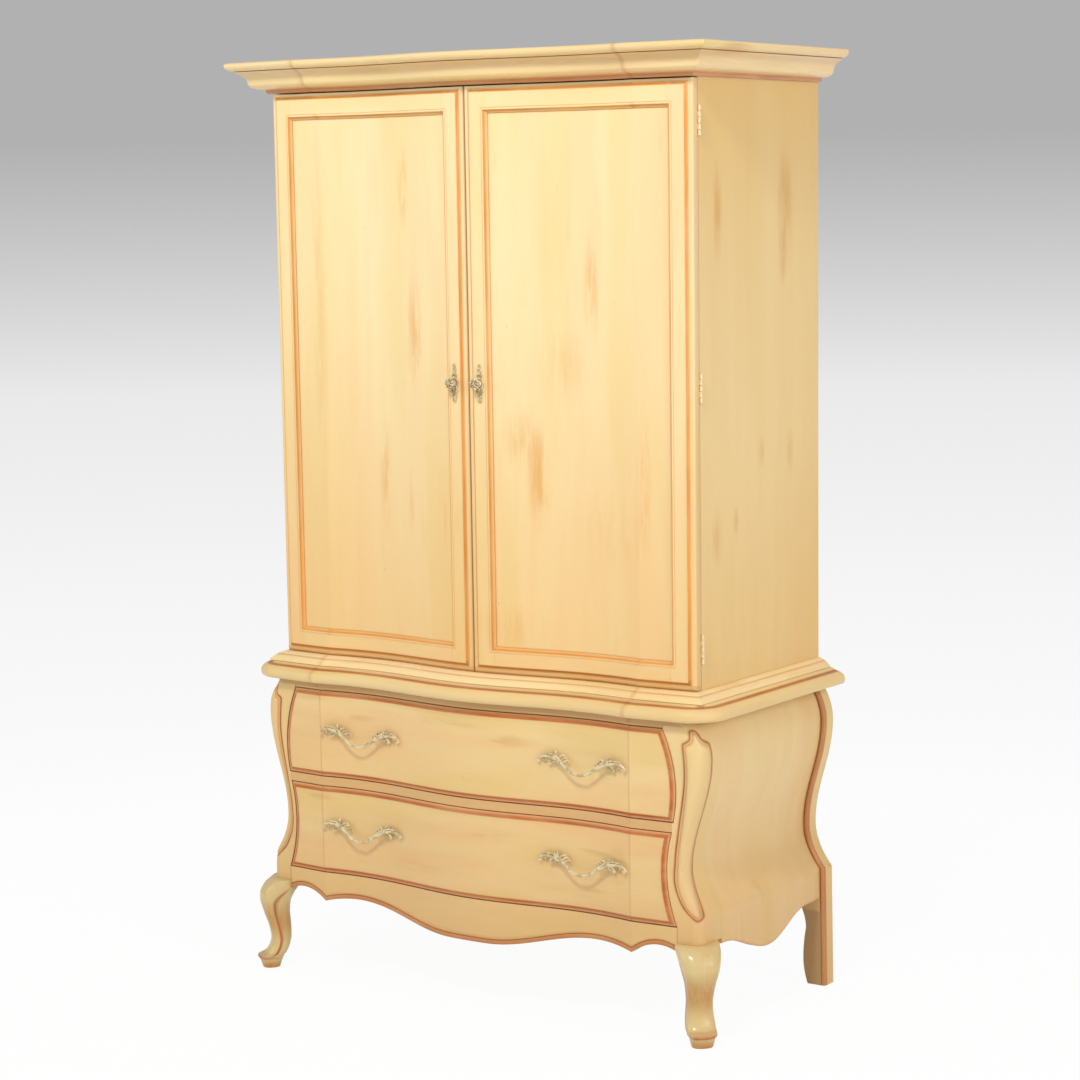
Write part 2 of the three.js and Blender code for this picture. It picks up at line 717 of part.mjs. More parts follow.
function cornerRadiusAt(z) {
  const up = THREE.MathUtils.smoothstep(z, padBottom - cornerFlare / 2, padBottom + cornerFlare / 2);
  return cornerRadiusLow + (cornerRadius - cornerRadiusLow) * up;
}

function cornerPost() {
  const section = (z) => {
    const inner = postInner(z);
    const outer = panelHalf(z);
    const radius = Math.min(cornerRadiusAt(z), outer - inner - drawerGap);
    const turns = steps(0, Math.PI / 2, Math.PI / 8);
    const arc = turns.map((turn) => [
      outer - radius + radius * Math.sin(turn), lowerDepth - radius + radius * Math.cos(turn)]);
    const stop = drawerBack - seatGap * 2;
    return [[inner, lowerDepth + frontRise(inner)], ...arc, [outer, postBack], [stopHalf, postBack],
      [stopHalf, stop], [inner, stop]].map(([x, depth]) => [x, ahead(depth), z]);
  };
  return loft(postHeights(legHeight + seatGap, frameTop).map(section));
}

// The leaf-shaped pad, carved out of the post and wrapped round its rounded corner
function cornerPad() {
  const leafShares = [
    [1, 0], [0.98, 0.14], [0.962, 0.32], [0.95, 0.36], [0.937, 0.78], [0.915, 0.95], [0.88, 1], [0.8, 0.98],
    [0.66, 0.9], [0.52, 0.82], [0.38, 0.75], [0.26, 0.74], [0.16, 0.77], [0.09, 0.71], [0.04, 0.55],
    [0.012, 0.3], [0, 0],
  ];
  const height = padTop - padBottom;
  const right = leafShares.map(([up, out]) => [padHalfWidth * out, padBottom + height * up]);
  const left = right.slice(1, -1).reverse().map(([across, z]) => [-across, z]);
  const outline = [...right, ...left];
  const half = Math.SQRT1_2;
  // The outline runs along the diagonal that looks out of the corner, and leans with the side's curve.
  const ringAt = (reach) => outline.map(([across, z]) => {
    const radius = cornerRadiusAt(z);
    const x = panelHalf(z) - radius + (across + reach) * half;
    const depth = lowerDepth - radius + (reach - across) * half;
    return [x, ahead(depth), z];
  });
  const prism = prismBetween(ringAt(0), ringAt(cornerRadius + overrun));
  const padHeights = [padBottom - seatGap, ...steps(padBottom, neckHeight, cornerFlare).slice(1, -1),
    ...baseHeights(neckHeight, padTop + seatGap)];
  const skin = (rise) => loft(padHeights.map((z) => {
    const outer = panelHalf(z);
    const radius = cornerRadiusAt(z);
    const turns = steps(-Math.PI / 12, (Math.PI * 7) / 12, Math.PI / 9);
    const centreX = outer - radius;
    const centreDepth = lowerDepth - radius;
    const arc = turns.map((turn) => {
      const spread = radius + rise * Math.max(0, Math.sin(((turn + Math.PI / 12) * 3) / 2));
      return [centreX + spread * Math.sin(turn), centreDepth + spread * Math.cos(turn)];
    });
    return [[centreX - radius / 2, centreDepth], ...arc, [centreX, centreDepth - radius / 2],
      [centreX - radius / 2, centreDepth - radius / 2]].map(([x, depth]) => [x, ahead(depth), z]);
  }));
  // It stops at the post's inner face, beside the drawers.
  const inside = loft(postHeights(padBottom - overrun, padTop + overrun).map((z) => {
    const x = postInner(z);
    const reach = lowerDepth + overrun;
    return [[0, 0], [x, 0], [x, reach], [0, reach]].map(([u, d]) => [u, ahead(d), z]);
  }));
  return skin(padRise).intersect(prism).subtract(inside);
}

// A prism between two rings that are not flat, capped by strips across the ring
function prismBetween(near, far) {
  const ring = near.length;
  const triangles = [];
  for (let i = 0; i < ring; i += 1) {
    const next = (i + 1) % ring;
    triangles.push(i, next, next + ring, i, next + ring, i + ring);
  }
  for (let i = 0; i < ring / 2; i += 1) {
    const a = i;
    const b = i + 1;
    const c = (ring - i) % ring;
    const d = ring - i - 1;
    if (c !== a) triangles.push(b, a, c, a + ring, b + ring, c + ring);
    if (d !== b) triangles.push(b, c, d, c + ring, b + ring, d + ring);
  }
  return solid([...near, ...far].flat(), triangles);
}

pair('corner_post', cornerPost().add(cornerPad()), paint);

function rearPost() {
  // A bead runs down the front corner between two small quirks.
  // These are shares of its width, in from the side and from the front face.
  const quirk = postQuirk / postBeadWidth;
  const cornerBeadShares = [
    [0, 1 + quirk], [quirk, 1], [0, 1 - quirk], [0, 0.55], [0.28, 0.12], [0.7, 0], [1 - quirk, 0], [1, quirk],
    [1 + quirk, 0]];
  const innerAt = (z) => {
    if (z >= apronTop - bottomThickness) return stopHalf;
    if (z > rearLegNeckHeight) {
      const down = (apronTop - bottomThickness - z) / (apronTop - bottomThickness - rearLegNeckHeight);
      return stopHalf + (rearLegNeckHalf - stopHalf) * Math.sin((Math.PI * down) / 2);
    }
    const hollow = rearLegNeckHeight * rearLegHollowShare;
    const end = z > hollow ? rearLegNeckHalf : rearLegFootHalf;
    const reach = z > hollow ? rearLegNeckHeight - hollow : hollow;
    return rearLegHollowHalf + (end - rearLegHollowHalf) * ((z - hollow) / reach) ** 2;
  };
  const bandStart = apronTop - bottomThickness;
  const marks = [...steps(0, rearLegNeckHeight, rearLegNeckHeight / 5),
    ...steps(rearLegNeckHeight, bandStart, (bandStart - rearLegNeckHeight) / 5).slice(1),
    ...baseHeights(bandStart, frameTop).slice(1)];
  const heights = [...new Set([...marks, ledgeHeight])].sort((a, b) => a - b);
  return loft(heights.map((z) => {
    const outer = sideHalf(z);
    const bead = cornerBeadShares.map(([side, front]) => [
      outer - postBeadWidth * side, rearPostDepth - postBeadWidth * front]);
    return [[innerAt(z), 0], [outer, 0], ...bead, [innerAt(z), rearPostDepth]]
      .map(([x, depth]) => [x, ahead(depth), z]);
  }));
}

pair('rear_post', rearPost(), paint);

function sidePanel() {
  const front = postBack - seatGap;
  const back = rearPostDepth + seatGap;
  const sheet = loft(baseHeights(sideApronLow - seatGap, frameTop).map((z) => {
    const [outer, rear] = [panelHalf(z), sideHalf(z) - panelSetRear];
    const [inner, rearInner] = [outer - panelThicknessLow, rear - panelThicknessLow];
    return [[inner, front], [outer, front], [rear, back], [rearInner, back]]
      .map(([x, depth]) => [x, ahead(depth), z]);
  }));
  const edge = steps(back - overrun, front + overrun, sideApronRearReach / 9).map((depth) => {
    const reach = depth > sideApronCentre ? sideApronFrontReach : sideApronRearReach;
    const away = Math.min(1, Math.abs(depth - sideApronCentre) / reach);
    const rise = (1 - Math.cos(Math.PI * away)) / 2;
    return [ahead(depth), sideApronLow + (sideApronHigh - sideApronLow) * rise];
  });
  const below = [[ahead(front + overrun), -overrun], [ahead(back - overrun), -overrun], ...edge];
  return sheet.subtract(alongX(below, neckHalfWidth / 2, footHalfWidth + overrun));
}

pair('side_panel', sidePanel(), paint);

// Lower edge of the front apron, at a place across the front
function apronEdge(x) {
  const across = Math.abs(x);
  if (across < apronArchHalf) {
    const out = Math.max(0, across - apronFlatHalf) / (apronArchHalf - apronFlatHalf);
    return apronTop - apronDrop + (apronArchDrop * (1 - Math.cos(Math.PI * out))) / 2;
  }
  const peak = apronTop - apronDrop + apronArchDrop;
  const cusp = apronTop - apronCuspDrop;
  if (across < creaseHalfWidth) {
    return peak - (peak - cusp) * ((across - apronArchHalf) / (creaseHalfWidth - apronArchHalf)) ** 2;
  }
  const top = apronTop - apronPeakDrop + (peak - cusp);
  return top - (top - cusp) * ((apronEndArchCentre - across) / (apronEndArchCentre - creaseHalfWidth)) ** 2;
}

function apron() {
  // The applied bead's section: how far it stands out, and how far up it lies
  const beadShares = [[0.5, 0], [1, 0.25], [1, 0.65], [0, 1]];
  const half = postInner(apronTop) - seatGap;
  const back = lowerDepth - apronThickness;
  const places = [
    ...steps(-half, -creaseHalfWidth, edgeStep).slice(0, -1),
    ...frontStations(-creaseHalfWidth, creaseHalfWidth),
    ...steps(creaseHalfWidth, half, edgeStep).slice(1),
  ];
  return loft(places.map((x) => {
    const rise = frontRise(x);
    const low = apronEdge(x);
    const bead = beadShares.map(([out, up]) => [lowerDepth + apronBeadRise * out, low + apronBeadWidth * up]);
    return [[back, low], ...bead, [lowerDepth, apronTop], [back, apronTop]]
      .map(([depth, z]) => [x, ahead(depth + rise), z]);
  }));
}

piece('front_apron', apron(), paint);

const railBack = lowerDepth - railThickness;

function railBetween(z0, z1, half) {
  return serpentine([[railBack, z0], [lowerDepth, z0], [lowerDepth, z1], [railBack, z1]], -half, half);
}

piece('top_rail', railBetween(railBottom, frameTop, postInner(railBottom) - seatGap), paint);

function drawerDivider() {
  const half = postInner(dividerTop) - seatGap;
  const rail = railBetween(dividerBottom, dividerTop, half);
  const dust = frontEdged(
    rearPostDepth / 2 + seatGap, railBack + seatGap,
    dividerTop - dustPanelThickness, dividerTop, stopHalf - seatGap);
  return rail.add(dust);
}

piece('drawer_divider', drawerDivider(), paint);
piece('bottom_board', frontEdged(
  rearPostDepth / 2 + seatGap, lowerDepth - apronThickness - seatGap,
  apronTop - bottomThickness, apronTop, stopHalf - seatGap), rawWood);
piece('lower_back', board(
  [-stopHalf + seatGap, ahead(rearPostDepth / 2 - backThickness), apronTop - bottomThickness],
  [stopHalf - seatGap, ahead(rearPostDepth / 2), frameTop],
), rawWood);

// Cabriole leg: oval sections strung along the diagonal of the corner, from a square top to a ledged toe
function frontLeg() {
  // Rows of height, centre along the diagonal, half-depth and half-width, from the floor up
  const legShares = [
    [0, -0.02, 0.25, 0.24], [0.06, -0.02, 0.3, 0.275], [0.105, -0.02, 0.35, 0.3],
    [0.112, -0.015, 0.38, 0.325], [0.13, -0.02, 0.375, 0.335], [0.155, -0.13, 0.32, 0.344],
    [0.229, -0.26, 0.29, 0.333],
    [0.318, -0.325, 0.288, 0.3125], [0.453, -0.3, 0.317, 0.3], [0.631, -0.21, 0.38, 0.35],
    [0.766, -0.19, 0.45, 0.427], [0.855, -0.27, 0.5, 0.47], [0.94, -0.42, 0.5, 0.5], [1, -0.57, 0.44, 0.51],
  ];
  const roundShare = 0.8;
  const sectionStepShare = 0.12;
  const leastStepShare = 0.006;
  const cornerX = ledgeHalfWidth + panelSet;
  const cornerDepth = lowerDepth + legStandOut;
  const at = (share) => {
    const next = Math.max(1, legShares.findIndex(([up]) => up >= share));
    const [low, high] = [legShares[next - 1], legShares[next]];
    const blend = (share - low[0]) / (high[0] - low[0]);
    return low.map((value, i) => value + (high[i] - value) * blend);
  };
  const ankle = legShares[5][0];
  const heights = [...new Set([...legShares.map(([up]) => up), ...steps(ankle, 1, sectionStepShare)])]
    .sort((a, b) => a - b)
    .filter((up, i, all) => i === 0 || up - all[i - 1] > leastStepShare);
  const half = Math.SQRT1_2;
  const sides = 16;
  const sections = heights.map((up) => {
    const [, centre, deep, wide] = at(up);
    return Array.from({ length: sides }, (_, i) => {
      const turn = (2 * Math.PI * i) / sides;
      const power = (value) => Math.sign(value) * Math.abs(value) ** roundShare;
      const out = legDepth * (centre + deep * power(Math.cos(turn)));
      const across = legWidth * wide * power(Math.sin(turn));
      return [cornerX + (out + across) * half, ahead(cornerDepth + (out - across) * half), legHeight * up];
    });
  });
  // The top of the leg is notched where the apron and the side panel meet it.
  const notchLow = sideApronLow;
  const notchHigh = legHeight + overrun;
  const innerNotch = board(
    [0, ahead(0), notchLow], [postInner(apronTop), ahead(lowerDepth + bulge + overrun), notchHigh]);
  const rearNotch = board([0, ahead(0), notchLow], [footHalfWidth + overrun, ahead(postBack), notchHigh]);
  return loft(sections).subtract(innerNotch).subtract(rearNotch);
}

pair('front_leg', frontLeg(), paint);

// Drawers
function drawerOutline(edge, z0, z1) {
  return (inset) => {
    const heights = steps(0, 1, 1 / 7).map((share) => z0 + inset + (z1 - z0 - inset * 2) * share);
    const across = frontStations(-creaseHalfWidth, creaseHalfWidth);
    const low = [-edge(z0 + inset) + inset, ...across, edge(z0 + inset) - inset].map((x) => [x, z0 + inset]);
    const right = heights.slice(1, -1).map((z) => [edge(z) - inset, z]);
    const high = [edge(z1 - inset) - inset, ...across.slice().reverse(), -edge(z1 - inset) + inset]
      .map((x) => [x, z1 - inset]);
    const left = heights.slice(1, -1).reverse().map((z) => [-edge(z) + inset, z]);
    return [...low, ...right, ...high, ...left];
  };
}

function drawer(name, edge, z0, z1, widest, floor, boxHeight) {
  const reach = widest + seatGap;
  const outlineAt = drawerOutline(edge, z0, z1);
  const front = lippedFront(outlineAt, drawerFace, drawerFrontThickness, [-reach, reach], z0, z1);
  piece(`${name}_front`, front, paint);
  const outer = stopHalf - guideClearance;
  const inner = outer - drawerBoxWall;
  const near = drawerBack + frontRise(outer) - seatGap;
  const far = near - drawerBoxLength;
  const low = floor + seatGap;
  const high = low + boxHeight;
  const bottomLow = low + drawerBottomRise;
  const bottomHigh = bottomLow + drawerBottomThickness;
  const groove = board(
    [inner - overrun, ahead(far - overrun), bottomLow - seatGap],
    [inner + drawerGroove + seatGap, ahead(near + overrun), bottomHigh + seatGap],
  );
  const wall = board([inner, ahead(far), low], [outer, ahead(near), high]).subtract(groove);
  pair(`${name}_side`, wall, rawWood);
  piece(`${name}_back`, board(
    [-inner + seatGap, ahead(far), bottomHigh + seatGap],
    [inner - seatGap, ahead(far + drawerBoxWall), high],
  ), rawWood);
  const bottom = frontEdged(far, drawerBack - seatGap, bottomLow, bottomHigh, inner + drawerGroove);
  piece(`${name}_bottom`, bottom, rawWood);
}

drawer('upper_drawer', upperDrawerEdge, upperDrawerBottom, upperDrawerTop,
  upperDrawerHalf, dividerTop, upperBoxHeight);
drawer('lower_drawer', lowerDrawerEdge, lowerDrawerBottom, lowerDrawerTop,
  lowerDrawerHalf + lowerDrawerTaper, apronTop, lowerBoxHeight);

// Drawer pull: one casting, a bail between two scrolled arms, with leaves where it stands on its posts
function drawerPull(x, z) {
  // Rows for one half: place out from the middle, height, stand-off, half-width and half-thickness
  const bailShares = [
    [0, -0.33, 1, 1.1, 1], [0.12, -0.29, 0.99, 1.1, 1], [0.27, -0.12, 0.93, 1.1, 1],
    [0.38, 0.1, 0.84, 1.2, 1.05], [0.49, 0.33, 0.68, 1.5, 1.1], [0.6, 0.53, 0.5, 2, 1.1],
    [0.7, 0.64, 0.4, 1.9, 1], [0.81, 0.67, 0.34, 1.5, 0.9], [0.91, 0.6, 0.3, 1.3, 0.8],
    [1, 0.36, 0.26, 1, 0.6],
  ];
  const otherHalf = bailShares.slice(1).reverse().map(([out, ...rest]) => [-out, ...rest]);
  const rows = [...otherHalf, ...bailShares];
  const sides = 6;
  const centres = rows.map(([out, up, off]) => new THREE.Vector3(
    x + pullHalfSpan * out, ahead(drawerFace + pullStandOff * off), z + pullDip * up));
  const sections = rows.map(([, , , wide, thick], i) => {
    const before = centres[Math.max(0, i - 1)];
    const after = centres[Math.min(rows.length - 1, i + 1)];
    const along = after.clone().sub(before).normalize();
    const out = new THREE.Vector3(0, -1, 0);
    const side = new THREE.Vector3().crossVectors(along, out).normalize();
    out.crossVectors(side, along).normalize();
    return Array.from({ length: sides }, (_, k) => {
      const turn = (2 * Math.PI * k) / sides;
      return centres[i].clone()
        .addScaledVector(side, bailRadius * wide * Math.cos(turn))
        .addScaledVector(out, bailRadius * thick * Math.sin(turn)).toArray();
    });
  });
  let shape = loft(sections);
  // Three leaves at each end: one stands up, one curls in over the bail and one hangs under the arm.
  // Each row is its place out, up and off the face, its length across and up, and its lean.
  const leafShares = [
    [0.58, 0.8, 0.42, 0.6, 1.6, 0.1], [0.43, 0.43, 0.45, 2.4, 0.9, 0.15], [0.67, 0.4, 0.35, 2, 0.9, -0.6],
  ];
  const postUpShare = 0.52;
  const postLength = pullStandOff * bailShares[5][2];
  [-1, 1].forEach((end) => {
    const post = new THREE.CylinderGeometry(pullPostRadius, pullPostRadius, postLength, 6);
    post.translate(x + end * pullPostHalf, ahead(drawerFace + postLength / 2), z + pullDip * postUpShare);
    shape = shape.add(solidOf(post));
    leafShares.forEach(([out, up, off, wide, tall, lean]) => {
      const leaf = new THREE.SphereGeometry(pullLobeRadius, 5, 4);
      leaf.scale(wide, off, tall);
      leaf.rotateY(-end * lean);
      leaf.translate(x + end * pullHalfSpan * out, ahead(drawerFace + pullStandOff * off), z + pullDip * up);
      shape = shape.add(solidOf(leaf));
    });
  });
  // The posts' feet are cut to the serpentine face that they stand on.
  const face = drawerFace + seatGap;
  const [low, high] = [z - pullHalfSpan, z + pullHalfSpan];
  const back = [[drawerBack, low], [face, low], [face, high], [drawerBack, high]];
  return shape.subtract(serpentine(back, -upperHalf, upperHalf));
}

const pullHeights = {
  upper: (upperDrawerBottom + upperDrawerTop) / 2 - upperPullDrop,
  lower: (lowerDrawerBottom + lowerDrawerTop) / 2 - lowerPullDrop,
};
Object.entries(pullHeights).forEach(([level, z]) => {
  pair(`${level}_drawer_pull`, drawerPull(drawerPullHalfWidth, z), pewter);
});

// Door pull: a scrolled backplate with a lobed knob, in one casting
function doorPull() {
  // A quarter of the plate's outline: a round boss, a waist, a leaf and a small tip
  const plateShares = [
    [1, 0], [0.93, 0.1], [0.7, 0.19], [0.46, 0.25], [0.5, 0.36], [0.64, 0.48], [0.58, 0.6], [0.36, 0.7],
    [0.3, 0.76], [0.4, 0.84], [0.3, 0.94], [0, 1],
  ];
  const backShares = plateShares.slice(0, -1).reverse();
  const upper = [...plateShares, ...backShares.map(([out, up]) => [-out, up])];
  const lower = upper.slice(1, -1).reverse().map(([out, up]) => [out, -up]);
  const outline = [...upper, ...lower];
  const shape = new THREE.Shape(outline.map(([out, up]) => new THREE.Vector2(
    (knobPlateWidth / 2) * out, (knobPlateHeight / 2) * up)));
  const sunk = knobPlateThickness / 2; // the plate is made thicker, then cut back to the curve of the stile
  const sheet = new THREE.ExtrudeGeometry(shape, { depth: knobPlateThickness + sunk, bevelEnabled: false });
  const headShares = [[0.6, 0.5], [0.94, 0.62], [1, 0.74], [0.86, 0.88], [0.45, 0.97], [0, 1]];
  const neckTopShare = 0.42;
  const profile = [
    new THREE.Vector2(0, 0),
    new THREE.Vector2(knobNeckRadius, 0),
    new THREE.Vector2(knobNeckRadius, knobProjection * neckTopShare),
    ...headShares.map(([out, up]) => new THREE.Vector2(knobRadius * out, knobProjection * up)),
  ];
  const turned = new THREE.LatheGeometry(profile, 14);
  turned.rotateX(Math.PI / 2);
  const made = solidOf(sheet).add(solidOf(turned));
  // The plate's local axes: u across, v up, w out of the door, turned to the door's slope here.
  const inner = knobHalfWidth - knobPlateWidth / 2;
  const outer = knobHalfWidth + knobPlateWidth / 2;
  const slope = Math.atan2(frontRise(outer) - frontRise(inner), knobPlateWidth);
  const foot = doorFace + frontRise(knobHalfWidth) - sunk;
  const mesh = made.getMesh();
  const positions = [];
  for (let i = 0; i < mesh.vertProperties.length; i += mesh.numProp) {
    const [u, v, w] = mesh.vertProperties.slice(i, i + 3);
    const depth = foot + w * Math.cos(slope) + u * Math.sin(slope);
    positions.push(knobHalfWidth + u * Math.cos(slope) - w * Math.sin(slope), ahead(depth), doorMiddle + v);
  }
  const face = doorFace + seatGap;
  const [low, high] = [doorMiddle - knobPlateHeight, doorMiddle + knobPlateHeight];
  const back = [[upperDepth, low], [face, low], [face, high], [upperDepth, high]];
  return solid(positions, Array.from(mesh.triVerts)).subtract(serpentine(back, doorInner, doorOuter));
}

pair('door_pull', doorPull(), pewter);

export default group;
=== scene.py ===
# A two-door television armoire in cream paint under an orange glaze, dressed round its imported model.
# Lengths are in metres. +X is to the right of the front, -Y is the front and +Z is up.
import math

import bmesh
import bpy
import numpy as np
from mathutils import Matrix, Vector


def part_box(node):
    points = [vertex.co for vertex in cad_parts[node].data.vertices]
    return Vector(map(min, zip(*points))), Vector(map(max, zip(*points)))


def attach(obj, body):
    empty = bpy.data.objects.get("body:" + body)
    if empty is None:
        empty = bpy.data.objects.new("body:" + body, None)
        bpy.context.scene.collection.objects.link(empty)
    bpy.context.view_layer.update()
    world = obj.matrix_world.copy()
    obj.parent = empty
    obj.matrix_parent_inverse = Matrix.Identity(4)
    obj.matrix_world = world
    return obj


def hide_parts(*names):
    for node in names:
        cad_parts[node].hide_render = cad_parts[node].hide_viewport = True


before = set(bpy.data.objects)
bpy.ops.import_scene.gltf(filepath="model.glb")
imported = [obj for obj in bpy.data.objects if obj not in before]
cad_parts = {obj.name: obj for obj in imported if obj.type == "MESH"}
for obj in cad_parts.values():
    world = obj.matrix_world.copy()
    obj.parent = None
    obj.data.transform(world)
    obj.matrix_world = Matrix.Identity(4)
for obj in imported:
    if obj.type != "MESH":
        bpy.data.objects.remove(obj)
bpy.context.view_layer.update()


# The view
# A long lens 1.8 m above the floor, to the right of the armoire's front, that looks a little down.
# The picture's middle lies off the lens's axis, so the lens is shifted.
eye = Vector((3.598, -5.113, 1.790))
turn_left = math.radians(34.783)
look_down = math.radians(8.402)
tilt = math.radians(-0.846)
picture_width = 1080
axis_across = 551.7
axis_down = 607.2
focal_pixels = 2774.4



def put_in(name, data):
    """A new object in the scene."""
    made = bpy.data.objects.new(name, data)
    bpy.context.scene.collection.objects.link(made)
    return made


camera = put_in("camera", bpy.data.cameras.new("camera"))
camera.data.sensor_width = 36
camera.data.lens = focal_pixels * camera.data.sensor_width / picture_width
camera.data.shift_x = (picture_width / 2 - axis_across) / picture_width
camera.data.shift_y = (axis_down - picture_width / 2) / picture_width
heading = Matrix.Rotation(turn_left, 4, "Z") @ Matrix.Rotation(math.pi / 2 - look_down, 4, "X")
camera.matrix_world = Matrix.Translation(eye) @ heading @ Matrix.Rotation(tilt, 4, "Z")
camera.data.clip_end = 100
bpy.context.scene.camera = camera


# The studio
# A white floor that fades into a paper backdrop, grey above and white below, and soft area lamps.
def linear(red, green, blue):
    """A colour given in 0 to 255, as a shader takes it."""
    parts = [value / 255 for value in (red, green, blue)]
    return (*[p / 12.92 if p <= 0.04045 else ((p + 0.055) / 1.055) ** 2.4 for p in parts], 1)


def new_material(name):
    material = bpy.data.materials.new(name)
    material.use_nodes = True
    return material, material.node_tree, material.node_tree.nodes["Principled BSDF"]


def wire(tree, kind, inputs=None, **settings):
    """Adds a shader node. An input is a value, or another node's output that is linked to it."""
    made = tree.nodes.new("ShaderNode" + kind)
    for key, value in settings.items():
        setattr(made, key, value)
    for key, value in (inputs or {}).items():
        if isinstance(value, bpy.types.NodeSocket):
            tree.links.new(value, made.inputs[key])
        else:
            made.inputs[key].default_value = value
    return made


def object_place(tree):
    return wire(tree, "TexCoord").outputs["Object"]


def lead(tree, value, shader, socket):
    """Links a value or a colour to one of a shader's sockets."""
    tree.links.new(value, shader.inputs[socket])


def mixed(tree, amount, first, second, mode="MIX"):
    """A colour between two others. With the node's RGBA type, its colours are sockets 6 and 7."""
    return wire(tree, "Mix", {0: amount, 6: first, 7: second}, data_type="RGBA", blend_type=mode).outputs[2]


def between(tree, value, low, high, floor=0.0, ceiling=1.0):
    """Runs smoothly from floor to ceiling as the value goes from low to high."""
    ranged = wire(tree, "MapRange", {"Value": value, "From Min": low, "From Max": high,
                                     "To Min": floor, "To Max": ceiling}, interpolation_type="SMOOTHSTEP")
    return ranged.outputs["Result"]


def product(tree, first, second):
    return wire(tree, "Math", {0: first, 1: second}, operation="MULTIPLY").outputs[0]


def seen_by_eye(tree):
    """One for rays that show a surface to the camera, straight, in a reflection or through glass."""
    rays = wire(tree, "LightPath").outputs
    shown = wire(tree, "Math", {0: rays["Is Camera Ray"], 1: rays["Is Glossy Ray"]}, operation="MAXIMUM").outputs[0]
    return wire(tree, "Math", {0: shown, 1: rays["Is Transmission Ray"]}, operation="MAXIMUM").outputs[0]


def turns_of(count, start=0.0):
    """Angles spaced evenly round a circle."""
    return np.linspace(start, start + 2 * math.pi, count + 1)[:-1]


floor_radius = 3.2
floor_fade_start = 1.7
floor_white = linear(253, 253, 253)
floor_lift = 0.95
floor = put_in("floor", bpy.data.meshes.new("floor"))
floor_rim = [(floor_radius * math.cos(a), floor_radius * math.sin(a), 0) for a in turns_of(96)]
floor.data.from_pydata(floor_rim, [], [list(range(len(floor_rim)))])
floor_paper, tree, shader = new_material("floor_paper")
shader.inputs["Base Color"].default_value = floor_white
shader.inputs["Roughness"].default_value = 0.9
shader.inputs["Specular IOR Level"].default_value = 0.1
away = wire(tree, "VectorMath", {0: object_place(tree)}, operation="LENGTH").outputs["Value"]
clear = wire(tree, "BsdfTransparent").outputs[0]
fade = between(tree, away, floor_fade_start, floor_radius)
white = wire(tree, "Emission", {"Color": (1, 1, 1, 1), "Strength": 1.0}).outputs[0]
lifted = product(tree, seen_by_eye(tree), floor_lift)
paper_lit = wire(tree, "MixShader", {0: lifted, 1: shader.outputs[0], 2: white}).outputs[0]
seen = wire(tree, "MixShader", {0: fade, 1: paper_lit, 2: clear})
tree.links.new(seen.outputs[0], tree.nodes["Material Output"].inputs["Surface"])
floor.data.materials.append(floor_paper)

backdrop = bpy.data.worlds.new("backdrop")
bpy.context.scene.world = backdrop
backdrop.use_nodes = True
tree = backdrop.node_tree
ambient_strength = 0.44
paper_low, paper_high = -0.30, 0.10
direction = wire(tree, "TexCoord").outputs["Generated"]
height = wire(tree, "SeparateXYZ", {0: direction}).outputs["Z"]
paper = wire(tree, "ValToRGB", {0: between(tree, height, paper_low, paper_high)})
paper_shades = [(0.0, (255, 255, 255)), (0.36, (245, 245, 246)), (0.62, (234, 234, 235)), (0.9, (177, 177, 178))]
stops = paper.color_ramp.elements
for _ in paper_shades[2:]:
    stops.new(0.5)
for stop, (at, shade) in zip(stops, paper_shades):
    stop.position = at
    stop.color = linear(*shade)
ambient = wire(tree, "Background", {"Color": linear(255, 253, 249), "Strength": ambient_strength}).outputs[0]
visible = wire(tree, "Background", {"Color": paper.outputs[0], "Strength": 1.0}).outputs[0]
sky = wire(tree, "MixShader", {0: seen_by_eye(tree), 1: ambient, 2: visible})
tree.links.new(sky.outputs[0], tree.nodes["World Output"].inputs["Surface"])


def lamp(name, place, aim, size, watts, tint=(1, 1, 1)):
    light = put_in(name, bpy.data.lights.new(name, "AREA"))
    light.data.size = size
    light.data.energy = watts
    light.data.color = tint
    light.location = place
    light.rotation_mode = "QUATERNION"
    light.rotation_quaternion = (Vector(aim) - Vector(place)).to_track_quat("-Z", "Y")
    return light


lamp("key_lamp", (1.1, -3.6, 4.6), (0, 0, 0.9), 0.65, 107)
lamp("left_lamp", (-3.6, -3.6, 2.4), (0, 0, 1.1), 2.4, 50, (0.92, 1, 0.90))
lamp("right_lamp", (4.8, -1.0, 2.2), (0, 0, 1.1), 2.6, 84)

bpy.context.scene.view_settings.view_transform = "Standard"


# Upper case sides
# Two flat boards of painted veneer on a stable core, grooved inside for the shelf.
# The finish is cream paint, glazed with orange and wiped, with long soft smears and a few dark flecks.
side_cream = (240, 207, 145)
side_tan = (218, 166, 98)
glaze_orange = (226, 132, 66)
# Brown for flecks, for crevices, and for painted shade in gaps, recesses and on undersides
crevice_and_shade_brown = (104, 66, 34)
stretches = {"x": (0.12, 1, 1), "z": (1, 1, 0.12), "xy": (0.12, 0.12, 1)}
hands = {"left": -1, "right": 1}


def noise(tree, place, scale, detail=2.0, rough=0.5, shift=(0, 0, 0)):
    moved = wire(tree, "Mapping", {"Vector": place, "Location": shift}).outputs["Vector"]
    return wire(tree, "TexNoise", {"Vector": moved, "Scale": scale, "Detail": detail,
                                   "Roughness": rough}).outputs["Fac"]


def patches(tree, place, scale, low, high, floor=0.0, ceiling=1.0, detail=2.0, rough=0.5, shift=(0, 0, 0)):
    """Soft patches: a noise, run from floor to ceiling between two of its values."""
    return between(tree, noise(tree, place, scale, detail, rough, shift), low, high, floor, ceiling)


def drawn_out(tree, place, along):
    """A place drawn out along an axis, as a brush or the grain of wood runs."""
    return wire(tree, "Mapping", {"Vector": place, "Scale": stretches[along]}).outputs["Vector"]


